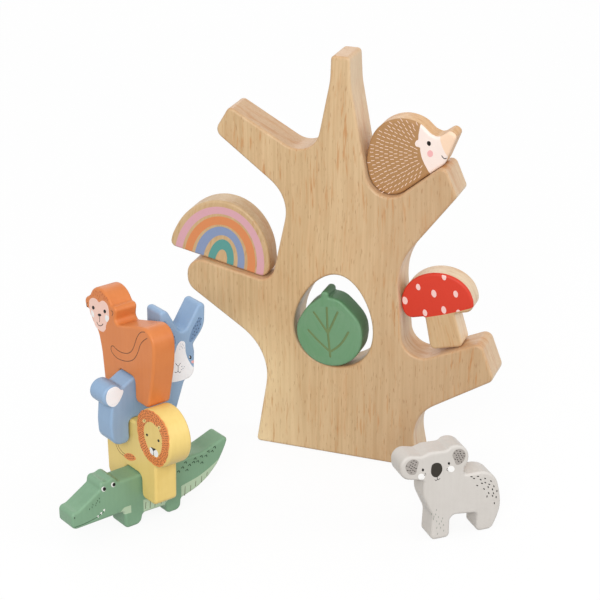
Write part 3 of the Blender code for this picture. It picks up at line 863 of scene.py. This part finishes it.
back = Print("hedgehog", "back", HEDGEHOG_BACK)
back.over_edge([], [(355, 95), (355, 215), (440, 215), (440, 95)]).finish(wrapped=True)
face = Print("hedgehog", "face", HEDGEHOG_FACE, 2)
boundary = [
    (419.9, 127.4), (418.6, 134.5), (418.2, 139.6), (416.4, 140.6), (415, 143.5), (416, 146.2),
    (419.8, 147.6), (420.3, 151.2), (421.9, 157.9), (424.6, 164.2), (429.3, 172.6),
]
face.over_edge(boundary, [(434, 182), (480, 182), (480, 110), (421, 118)]).finish(wrapped=True)
nose = Print("hedgehog", "nose", HEDGEHOG_NOSE, 3)
boundary = [(439.2, 133), (440.2, 139), (441.4, 143.8), (444, 150.5), (446.8, 155.4)]
nose.over_edge(boundary, [(450, 162), (480, 162), (480, 120), (439, 120)]).finish(wrapped=True)
Print("hedgehog", "cheek", PINK_CHEEK, 3).oval((430.2, 153.6), 2.9, 3.4, -8).finish()
features = Print("hedgehog", "eye_and_mouth", BLACK, 4)
features.oval((429, 143.4), 1.9, 2.5, -22)
features.lines(BOLD, [(441.9, 155.7), (442.9, 157.4), (444.3, 158.5), (446, 158.6)]).finish()
print_rows(
    "hedgehog", "quills",
    [(418.4, 124.8), (415.5, 134), (412.5, 143), (416.5, 149), (418.5, 158), (421.5, 165), (425, 172.5),
     (414, 181), (403, 188), (394, 193.5), (387.5, 195.5), (381, 191), (374.5, 182), (370, 170),
     (368.6, 157),
     (371.5, 143), (378, 132.5), (388, 124), (398, 120.3), (408, 120.6)],
    (430, 156), stroke(0.0024, 0.00043), QUILL, 0.0031, 0.0026, **{"First Radius": 0.0065},
)

# %% [markdown]
# ## The mushroom
#
# The cap is red ink with pale dots, and the stem is bare wood. One dot is cut off by the cap's lower
# edge, as printed dots are.

# %% Print the mushroom
CAP_RED = ink("cap_red_ink", (214, 62, 42), (202, 50, 34), 0.6)
CAP_DOTS = ink("cap_dot_ink", (246, 206, 200), (236, 176, 168), 0.7)
cap = Print("mushroom", "cap", CAP_RED)
lower_edge = [(395, 322.5), (423.7, 317.6), (440, 315.3), (455.3, 312.2), (480, 306)]
cap.over_edge([], lower_edge + [(480, 255), (395, 255)]).finish(wrapped=True)
dots = Print("mushroom", "dots", CAP_DOTS, 2)
for pixel, across, up in [
    ((418.2, 287), 2.1, 3.3), ((404.9, 300.5), 2.6, 3.9), ((433.9, 293.6), 2.4, 3.9),
    ((444, 276.8), 2.1, 3.5), ((455.7, 294), 2.2, 3.5), ((425, 312.8), 2.1, 3.4),
    ((443.8, 309.9), 2.3, 3.8),
]:
    dots.oval(pixel, across, up, -16)
dots.patch([(456, 312), (456.8, 310.2), (458.2, 309.6), (459.6, 310.2), (460.2, 311.2)], [(459.6, 311.4)])
dots.finish(wrapped=True)

# %% [markdown]
# ## The rainbow
#
# Four bands of ink, each between two half ellipses that stand on the flat side. A band is given by the
# pixels of its left foot, its crown and its right foot, outside and inside.

# %% Print the rainbow
ARCH_STEPS = 36
BAND_LIFT = 0.0008
UNDER_BAND = 0.93


def arch(board, left, crown, right):
    """Half an ellipse over two feet, as high as the crown."""
    left, crown, right = (board.spot(pixel) for pixel in (left, crown, right))
    base = min(point.y for point in board.outlines[0]) + BAND_LIFT
    middle, reach, height = (left.x + right.x) / 2, (right.x - left.x) / 2, crown.y - base
    angles = [math.pi * step / ARCH_STEPS for step in range(ARCH_STEPS + 1)]
    return [Vector((middle + reach * math.cos(a), base + height * math.sin(a))) for a in angles]


BANDS = {
    "pink": ((220, 169, 178), [(176, 243), (219.3, 205.5), (263.7, 272.3)],
             [(182.6, 246.3), (219.3, 212.7), (256.3, 271.6)]),
    "orange": ((221, 142, 92), [(185.5, 246.3), (219.3, 215.1), (254.9, 270.1)],
               [(192.5, 249.6), (219.3, 223.5), (247.2, 267.9)]),
    "blue": ((138, 154, 188), [(195.4, 249.9), (219.3, 225.5), (244.2, 266.8)],
             [(203.9, 253.6), (219.3, 233.8), (237.3, 265.7)]),
    "teal": ((94, 158, 151), [(208.3, 255.8), (219.7, 238), (233.6, 263.5)],
             [(215.6, 257.6), (220.8, 248.8), (227, 261.7)]),
}
for name, (shown, outside, inside) in BANDS.items():
    seed = len(name) / 10
    band_ink = ink(f"{name}_band_ink", shown, [value * UNDER_BAND for value in shown], seed)
    band = Print("rainbow", f"{name}_band", band_ink)
    outline = arch(band.board, *outside) + arch(band.board, *inside)[::-1]
    band.press([outline], BLOCK_HEIGHT, EDGE_ROUNDING).finish(wrapped=True)

# %% [markdown]
# ## The leaf's veins
#
# The veins are the one pattern that is cut and not printed: a round cutter ran along them and left
# shallow grooves, which took a darker stain. The grooves are cut out of the board with thin tubes, and
# the walls of a cut keep the tube's material, so the stain comes with them.

# %% Cut the veins
VEIN_WIDTH = 0.0015
VEIN_DEPTH = 0.0005
VEIN_STAIN = ink("vein_stain", (118, 138, 92), (104, 124, 80), 0.8)
VEINS = [
    [(326.7, 307.7), (327.2, 319), (327.7, 331.3), (329, 343.9), (330.3, 356.5)],
    [(313.8, 312.3), (320.5, 322), (327.7, 333)],
    [(337.6, 312.3), (333.2, 322), (328, 333)],
    [(308.4, 330.1), (318.5, 341), (329.8, 351.5)],
    [(348.3, 332.4), (342.8, 341.6), (337.1, 347.3), (329.8, 351.9)],
]
leaf, board = bpy.data.objects["leaf_board"], boards["leaf"]
for vein in VEINS:
    outline = ribbon(through(board.spots(vein)), VEIN_WIDTH)
    mesh = flat_shape("cutter", [outline], VEIN_DEPTH * 2, VEIN_DEPTH / 2)
    mesh.transform(board.frame @ Matrix.Translation((0, 0, board.face)))
    mesh.materials.append(VEIN_STAIN)
    cut_with(leaf, add_object("cutter", mesh), "DIFFERENCE", "EXACT")
leaf.data.set_sharp_from_angle(angle=SHARP_CORNER)
even_shading(leaf)
print("leaf:", len(leaf.data.polygons), "faces,", [material.name for material in leaf.data.materials])

# %% [markdown]
# ## The crocodile
#
# Green paint all over, with a paler belly printed under the jaw, behind the front leg and along the
# tail. The belly prints run over the lower edge. Short dark strokes stand on them, and rows of little
# chevrons follow the back.

# %% Print the crocodile
BELLY_INK = ink("belly_ink", (186, 208, 178), (170, 194, 160), 0.9)
SCALE_INK = ink("scale_ink", (44, 68, 48), (70, 98, 74), 1, shine=0.2)
STRIPE_INK = ink("stripe_ink", (98, 92, 66), (122, 120, 88), 1.1)

belly = Print("crocodile", "belly", BELLY_INK)
belly.over_edge(
    [], [(144, 520), (164.8, 512), (165.1, 506), (165.1, 503), (169.7, 498.4), (156, 497.6), (143.3, 499.8)],
)
belly.over_edge(
    [(119.8, 513.6), (123.6, 508.2), (127.6, 506.3), (131.1, 505.2)],
    [(131.3, 512.6), (127.4, 513.6), (123.4, 515.6), (121.2, 521)],
)
belly.over_edge(
    [(181.2, 486.1), (187.9, 482.3), (198.1, 476.4), (206.5, 470), (214.1, 463.3), (219.2, 458.2)],
    [(228, 458), (216, 480), (200, 496), (181.4, 505)],
)
belly.finish(wrapped=True)
eyes = Print("crocodile", "eye_whites", WHITE)
eyes.oval((103.7, 489.1), 2.2, 2.5, 10).oval((113.3, 484.7), 2.1, 2.4, 10)
for tooth in (
    [(96.8, 516), (99.2, 515.2), (98.4, 517.8)], [(99.9, 513), (102.1, 511.9), (101.8, 514.8)],
    [(102.9, 510), (105, 508.6), (104.6, 511.8)],
):
    eyes.patch([], tooth)
eyes.finish()
pupils = Print("crocodile", "eyes", BLACK, 2)
pupils.oval((104.3, 489), 1.6, 2, 10).oval((113.9, 484.6), 1.5, 1.9, 10)
pupils.oval((74.6, 518), 0.4, 0.8).finish()
jaw = Print("crocodile", "jaw", SCALE_INK)
jaw.lines(FINE, [(75, 527.2), (82, 524.8), (89.6, 521.3), (97, 517.2), (104.2, 511.4)]).finish()
SCALES = [
    (179, 470.5), (183, 466.5), (187.2, 469), (186, 461.4), (190, 464), (194, 461.2), (195.4, 457.6),
    (198.2, 460.4), (202.2, 461.6), (202, 455.4), (206.5, 454.8), (209, 450.6), (212.6, 450.2),
    (215.2, 446.2),
]
scale = chevron(0.0014, 0.0006, math.radians(80), 1)
print_places("crocodile", "scales", SCALES, (150, 600), scale, SCALE_INK, sway=0.25)
FRECKLES = [
    (89.6, 509.2), (92.1, 507.1), (92.9, 504.6), (96.2, 503.1), (95.8, 505.4), (99.3, 498.5), (97.4, 500.8),
    (99.7, 502),
]
print_places("crocodile", "freckles", FRECKLES, (96, 560), stroke(0.0012, FINE, 1), SCALE_INK, sway=0.7)
STRIPES = [
    (145.6, 502.2, 508.6), (150.2, 501.4, 508), (155, 500, 506.4), (161.3, 498.8, 503.4),
    (165.8, 498.4, 501.2), (184.9, 486.5, 495.4), (190.5, 485.2, 491), (195.5, 481, 486),
    (201.4, 476.2, 482), (206.9, 472, 476),
]
stripes = Print("crocodile", "stripes", STRIPE_INK, 2)
for x, top, foot in STRIPES:
    stripes.lines(FINE, [(x + 0.3, top), (x, top / 2 + foot / 2), (x - 0.1, foot)])
stripes.finish()

# %% [markdown]
# ## The lion
#
# The mane is an orange ring of ink with a slightly uneven rim, and four rings of short brown hairs. The
# face inside it is the board's own yellow, so the ring is printed with a hole. The tail is a double
# line that ends in an orange tuft.

# %% Print the lion
MANE_INK = ink("mane_ink", (236, 145, 80), (222, 126, 64), 1.2)
HAIR_INK = ink("hair_ink", (118, 50, 28), (150, 72, 44), 1.3)
MANE_OUTER = [
    (144.3, 410.4), (150.1, 411), (155, 413.9), (160.4, 419.3), (164.8, 426), (167.4, 433.5),
    (168.5, 441.5), (168.3, 451), (166.5, 458.9), (163.8, 463.7), (160.8, 466.2), (156.8, 465.9),
    (151.4, 462.4), (146.5, 457.1), (142.9, 450.9), (140, 443.8), (138.4, 435.7), (137.5, 426.8),
    (137.9, 418.8), (140.1, 412.9),
]
MANE_INNER = [
    (147.6, 421.8), (151.4, 422.2), (155.4, 425.2), (159, 430.2), (161.2, 435.7), (162.1, 441.1),
    (161.9, 446.9), (160.8, 452.2), (158.9, 456), (156.8, 457.6), (154.1, 456.2), (151, 453.4),
    (148.9, 449.6), (146.5, 443.8), (144.7, 437.9), (143.8, 431.3), (144.6, 425.2),
]
mane = Print("lion", "mane", MANE_INK)
mane.ring(MANE_OUTER, MANE_INNER)
mane.patch([
    (123.9, 455.8), (127.6, 459.6), (131.5, 460.8), (135, 460), (135.8, 458.2), (133.1, 454.9),
    (129.5, 453.2), (126.4, 453.4),
]).finish()
LION_EAR = ink("ear_ink", (243, 214, 140), (232, 200, 120), 1.4)
ears = Print("lion", "ears", LION_EAR, 2)
ears.oval((144.3, 420.9), 1.7, 1.9, -15).oval((159.1, 427.8), 1.7, 2.1, -15).finish()
muzzle = Print("lion", "muzzle", WHITE)
muzzle.patch([
    (150, 447.3), (149.9, 450), (150.4, 452.7), (152.2, 455.2), (153.3, 454.6), (153.6, 451.4),
    (152.6, 448.9),
])
muzzle.patch([
    (153.8, 451.3), (155.2, 450.2), (156.6, 450.2), (157.9, 452.7), (158.1, 455.4), (157.2, 457.2),
    (155.6, 456.9), (154.1, 455),
]).finish()
features = Print("lion", "eyes_and_nose", BLACK, 3)
features.oval((147.1, 434.9), 0.85, 1.35, -22).oval((158.6, 440.7), 0.85, 1.35, -22)
features.patch([], [(151.2, 447), (155.9, 449.3), (153.6, 451.2)])
features.lines(
    FINEST, [(153.6, 450.8), (153.6, 453), (153.5, 455.4)], [(144.1, 420), (144.9, 420.4), (145, 421.6)],
    [(159.5, 427), (158.7, 427.6), (158.9, 429)],
).finish()
Print("lion", "tail", HAIR_INK).lines(
    FINE, [(115.8, 443.4), (116.7, 446.6), (118.6, 450.4), (121, 453.4), (124.2, 455.6)],
    [(117.9, 444), (119, 447.2), (120.8, 450), (122.8, 452.4), (125, 454)],
).finish()
print_rows(
    "lion", "mane_hairs", MANE_OUTER, (153.2, 440.5), stroke(0.0012, 0.00038), HAIR_INK, 0.0017, 0.0015,
    hole=MANE_INNER, Sway=0.35,
)
TUFT = [(124.9, 455.4), (127.6, 458.8), (131.5, 460), (134.5, 459.2), (132.9, 455.6), (129.5, 454)]
hair = stroke(0.0012, 0.00038)
print_rows("lion", "tuft_hairs", TUFT, (112, 444), hair, HAIR_INK, 0.0016, 0.0014, Sway=0.35)

# %% [markdown]
# ## The rabbit
#
# A white blaze widens into a white muzzle, the ears have darker, freckled insides, and the tail is a
# white patch that wraps round the edge.

# %% Print the rabbit
BLAZE_INK = ink("blaze_ink", (250, 251, 254), (230, 236, 245), 1.5)
EAR_INK = ink("inner_ear_ink", (118, 146, 180), (104, 134, 170), 1.6)
FRECKLE_INK = ink("freckle_ink", (66, 84, 108), (90, 108, 134), 1.7)
RABBIT_EARS = {
    "right": [(200.3, 317), (197.8, 319.2), (192.6, 328.4), (189.8, 336.6), (189.4, 341.4), (191.8, 341.3),
              (196.8, 334.9), (200.3, 327.4), (201.4, 320.8)],
    "left": [(164.6, 321), (168.2, 325.4), (172, 331.2), (174.7, 337), (175.9, 343), (173.2, 344),
             (168.6, 340), (164.4, 333), (162.6, 326)],
}
blaze = Print("rabbit", "blaze", BLAZE_INK)
blaze.over_edge(
    [
        (198, 372), (194.6, 368.4), (191.4, 365), (187.8, 358.9), (185.7, 352.2), (185.3, 347),
        (185, 342.8), (183.2, 341.2), (180.2, 341.6), (177.2, 345.8), (175, 352.6), (172.6, 359.4),
        (168, 365.6), (163, 371), (161, 377), (164, 382), (172.6, 382.2), (180, 380.8), (186.5, 379),
    ],
    [(196, 384), (208, 378)],
)
blaze.patch([
    (114.6, 386.9), (108.9, 390), (106.2, 396.2), (106.6, 402.3), (109.7, 406.2), (114.3, 406.6),
    (118.2, 403.1), (121.2, 397.7), (123.2, 392.3), (122.8, 390), (120.5, 389.7), (118.2, 387.7),
]).finish(wrapped=True)
Print("rabbit", "inner_ears", EAR_INK).patch(RABBIT_EARS["right"]).patch(RABBIT_EARS["left"]).finish()
features = Print("rabbit", "face", BLACK, 2)
features.oval((190.2, 357.2), 1.2, 1.8, -10).oval((168.4, 361), 1.2, 1.8, -10)
features.lines(
    HAIRLINE, [(175.6, 363.4), (178.1, 366), (180.5, 363.2)], [(178.1, 366), (178.1, 368.4), (178, 371)],
    [(174.8, 372), (176.3, 372.6), (178, 371)], [(178, 371), (179.5, 372.6), (180.7, 371.8)],
).finish()
whites = Print("rabbit", "eye_whites", WHITE, 3)
whites.oval((189.5, 357), 0.35, 0.95, -10).oval((167.8, 360.8), 0.35, 0.95, -10).finish()
cheeks = Print("rabbit", "cheeks", PINK_CHEEK, 2)
cheeks.oval((193, 361.8), 1.8, 1.4, -10).oval((166.5, 366), 1.7, 1.3, -10).finish(wrapped=True)
for side, region in RABBIT_EARS.items():
    print_rows(
        "rabbit", side + "_ear_freckles", region, (185, 390), stroke(0.0011, 0.0006), FRECKLE_INK,
        0.0021, 0.002, Sway=0.6, Shift=0.0006,
    )
FOREHEAD = [(180.6, 342.6), (184.4, 342.8), (184.4, 349.6), (179.4, 351.6), (177.8, 347.4)]
GREY_HAIR = ink("grey_hair_ink", (188, 196, 208), (206, 212, 222), 1.75)
print_rows(
    "rabbit", "forehead_hairs", FOREHEAD, (182, 390), stroke(0.0012, FINEST), GREY_HAIR, 0.0016, 0.0014,
    Sway=0.3, Shift=0.0005,
)
WHISKERS = [(181.8, 366.4), (183, 368.2), (181.6, 369.6), (184.2, 366.6)]
print_places("rabbit", "whisker_dots", WHISKERS, (178, 369), stroke(0.0007, 0.0004), FRECKLE_INK)

# %% [markdown]
# ## The monkey
#
# A pink face patch shaped like an apple core, white cheeks, and fine dark lines for the ears and for
# the curled tail that lies along its side.

# %% Print the monkey
SKIN_INK = ink("skin_ink", (253, 214, 199), (246, 196, 178), 1.8)
FINE_INK = ink("fine_line_ink", (74, 44, 30), (110, 66, 44), 1.9)
skin = Print("monkey", "face", SKIN_INK)
skin.patch([
    (89.2, 303), (90, 299.4), (92.8, 297.8), (96, 299), (99, 302.2), (102, 300.6), (105.2, 302),
    (107.8, 306), (109, 312), (109, 318), (107.2, 322), (106, 326), (105.6, 329.4), (103, 331.8),
    (99.2, 330), (95.6, 326), (94, 321), (92.6, 317), (90.2, 312.6),
]).finish()
cheeks = Print("monkey", "cheeks", WHITE, 2)
cheeks.patch([(91.2, 310.6), (92.4, 310.4), (93.8, 313), (94.4, 316.2), (93.3, 317.2), (91.7, 314.4)])
cheeks.patch([(105.2, 316), (106.6, 315), (108.9, 317), (108.9, 319.6), (107.2, 322), (105.6, 320)])
cheeks.finish(wrapped=True)
features = Print("monkey", "features", BLACK, 3)
features.oval((93.4, 307.6), 1.2, 1.9, -12).oval((104.9, 311.4), 1.2, 1.9, -12)
features.oval((99.6, 314.9), 1.7, 1.3, 10)
features.lines(FINEST, [(99.7, 316), (99.7, 318.6), (99.6, 322)])
features.lines(BROAD, [(97, 322), (98.2, 324.6), (100.2, 325.8), (102.2, 325.2), (103, 323.8)]).finish()
CURLED_TAIL = [
    (144.8, 332.2), (141.2, 332.2), (138.2, 335.2), (136, 340), (133.8, 347), (131, 351.6), (127, 353.4),
    (121, 352.2), (116, 348.8), (113.2, 346), (111.4, 346.4), (111.2, 350), (113.4, 354.2), (118, 358.6),
    (125, 361), (131, 360.8), (135, 357.8), (138, 352), (140.2, 345.2), (143.2, 341), (147, 338.4),
]
EAR_LINES = [(87.5, 302.6), (86.5, 304.4), (87.1, 307)], [(111, 310.6), (113, 312.6), (112, 315.8)]
Print("monkey", "tail_and_ears", FINE_INK).lines(BROAD, CURLED_TAIL, *EAR_LINES).finish()
FOREHEAD = [
    (90.6, 296), (92.6, 291.6), (97, 289.8), (102.4, 292), (107, 297), (107.4, 300.4), (102.6, 298.6),
    (99, 299.4), (95.6, 296.6),
]
HAIR = ink("monkey_hair_ink", (196, 108, 60), (206, 120, 74), 1.95)
print_rows(
    "monkey", "forehead_hairs", FOREHEAD, (99, 318), stroke(0.0014, FINE), HAIR, 0.0021, 0.002,
    Sway=0.4, Shift=0.0006,
)

# %% [markdown]
# ## The koala
#
# Grey paint, a large dark nose, white cheeks, and dashes on the rump and the front leg. The ears have a
# darker inside, filled with short strokes.

# %% Print the koala
INNER_EAR = ink("koala_ear_ink", (172, 165, 159), (160, 152, 146), 2)
DASH_INK = ink("dash_ink", (46, 42, 39), (78, 72, 68), 2.1, shine=0.15)
NOSE_INK = ink("nose_ink", (58, 54, 48), (74, 70, 63), 2.2, shine=0.15)
PALE_DASH = ink("pale_dash_ink", (158, 162, 152), (178, 178, 168), 2.3)
KOALA_EARS = {
    "left": [(412.2, 459.6), (416, 459.8), (418.6, 462.1), (418, 465.6), (417, 469), (416.6, 472),
             (415, 474.4), (411.4, 475), (408.6, 473.8), (406.6, 471.4), (405.5, 468.3), (406, 465),
             (408.2, 462)],
    "right": [(452.6, 454.5), (455, 450.5), (459.6, 448.9), (464, 450.8), (465.6, 455.2), (463.8, 460.6),
              (460.4, 464), (456.8, 464.8), (455.2, 463), (454.4, 460.2), (453, 457.4)],
}
WITHIN_EAR = 0.86
Print("koala", "inner_ears", INNER_EAR).patch(KOALA_EARS["left"]).patch(KOALA_EARS["right"]).finish()
for side, ear in KOALA_EARS.items():
    middle = sum((Vector(pixel) for pixel in ear), Vector((0, 0))) / len(ear)
    print_rows(
        "koala", side + "_ear_strokes", [middle.lerp(Vector(pixel), WITHIN_EAR) for pixel in ear], (430, 560),
        stroke(0.0012, BOLD), DASH_INK, 0.0014, 0.002, Turn=1.15, Sway=0.5,
    )
cheeks = Print("koala", "cheeks", WHITE)
cheeks.oval((421.4, 476.8), 3.3, 3.2).oval((451.2, 468.9), 3.4, 3.1).finish(wrapped=True)
features = Print("koala", "eyes_and_mouth", BLACK)
features.oval((422.9, 469.9), 1.1, 1.45).oval((448.9, 463.4), 1.1, 1.45)
MOUTH = [(434.9, 479.8), (436.2, 480.6), (437.5, 479.4), (438.7, 479.6), (439.9, 478.4)]
features.lines(FINE, MOUTH, [(437.2, 477), (437.4, 479.4)]).finish()
Print("koala", "nose", NOSE_INK).patch([
    (431.7, 466), (434.4, 463.4), (438.6, 462.9), (441.6, 465.2), (442.3, 469.8), (440.5, 474),
    (437.1, 477.1), (433.2, 476.5), (431.1, 472.8),
]).finish()
RUMP = [
    (471.5, 476.7), (474, 478.4), (478, 476.4), (480.7, 479.6), (485.1, 478.5), (491, 481.1),
    (482, 483.3), (485.3, 482.6), (489.2, 484.3), (493.9, 486.2), (477.2, 485.5), (488.2, 487),
    (484, 488.9), (492.5, 489.4), (496.9, 491), (488.7, 493), (493.5, 493.2), (487, 496.4),
    (492.5, 495.8), (496.1, 497.1), (494.4, 503.1),
]
LEG = [
    (436.4, 510), (431.5, 514.2), (435.7, 514.4), (434, 516.7), (438.4, 517), (442.6, 518.4),
    (433.4, 519.1), (436.7, 521.3), (441.4, 521.3), (439.3, 523.7), (443.6, 524.9), (436.8, 527.8),
    (440.5, 527.6), (443.6, 530.6), (437.6, 533.7),
]
DOTS = [(425.2, 473.3), (425.6, 474.8), (424.4, 475.2), (447.2, 468.6), (446.6, 469.8), (447.6, 470.6)]
print_places("koala", "whisker_dots", DOTS, (436, 472), stroke(0.0007, 0.0004), DASH_INK)
dash = stroke(0.0016, 0.00065, 1)
print_places("koala", "rump_dashes", RUMP, (466, 506), dash, DASH_INK, sway=0.3, turn=math.pi / 2)
print_places("koala", "leg_dashes", LEG, (440, 700), stroke(0.0014, 0.00045, 1), PALE_DASH, sway=0.3)

# %% [markdown]
# ## Floor and light
#
# The set stands on a plain white floor. A large soft lamp in front and a little to the right gives the
# faces their even light. A second one from the right opens up the sides, a weak one behind keeps the
# backs from going dull, and the world fills the shadows. The floor throws little light back, as if it
# were grey, and is only shown as white, with the set's faint shadow on it.

# %% Floor and light
FLOOR_SIZE = 60
FLOOR_DROP = 0.0002
FLOOR_GREY = colour(150, 148, 146)
FLOOR_WHITE = colour(250, 250, 250)
SHOWN_SHARE = 0.9
WORLD_LIGHT = 0.73
LAMP_SIZE = 1.0
LIT_PLACE = Vector((0, 0, 0.1))
PURE_WHITE = (1, 1, 1, 1)


def shown_white(recipe):
    """How much of a backdrop is plain white: all where it is seen or mirrored, none where it lights."""
    rays = (f"Is {kind} Ray" for kind in ("Camera", "Glossy", "Transmission"))
    seen, mirrored, through_glass = (recipe.add("ShaderNodeLightPath", {}, ray) for ray in rays)
    return seen.maths("MAXIMUM", mirrored).maths("MAXIMUM", through_glass)


half = FLOOR_SIZE / 2
mesh = bpy.data.meshes.new("floor")
corners = [(-half, -half), (half, -half), (half, half), (-half, half)]
mesh.from_pydata([(*corner, -FLOOR_DROP) for corner in corners], [], [(0, 1, 2, 3)])
add_object("floor", mesh)
finish = Finish("white_floor")
finish.shade(Base_Color=finish.mix(shown_white(finish), FLOOR_GREY, FLOOR_WHITE), Roughness=0.9)
shell = finish.add("ShaderNodeEmission", {"Color": PURE_WHITE, "Strength": 1})
lit = Value(finish, finish.surface.outputs[0])
mixed = finish.add("ShaderNodeMixShader", {0: shown_white(finish) * SHOWN_SHARE, 1: lit, 2: shell})
finish.feed(finish.tree.nodes["Material Output"].inputs["Surface"], mixed)
mesh.materials.append(finish.material)

world = bpy.data.worlds.new("studio")
bpy.context.scene.world = world
world.use_nodes = True
sky = Recipe(world.node_tree)
background = sky.tree.nodes["Background"]
background.inputs["Color"].default_value = PURE_WHITE
sky.feed(background.inputs["Strength"], shown_white(sky) * (1 - WORLD_LIGHT) + WORLD_LIGHT)

LAMPS = {
    "key_light": ((0.4, -1.9, 1.1), 23.5), "back_light": ((-0.9, 1.7, 1.2), 4),
    "side_light": ((1.7, 0.2, 0.9), 6.2),
}
for name, (place, power) in LAMPS.items():
    light = bpy.data.lights.new(name, "AREA")
    light.shape = "SQUARE"
    light.size = LAMP_SIZE
    light.energy = power
    lamp = add_object(name, light)
    lamp.location = place
    lamp.rotation_euler = (Vector(place) - LIT_PLACE).to_track_quat("Z", "Y").to_euler()
    print(f"{name}: {power} W")

# %% Show colours as they are written
bpy.context.scene.view_settings.view_transform = "Standard"
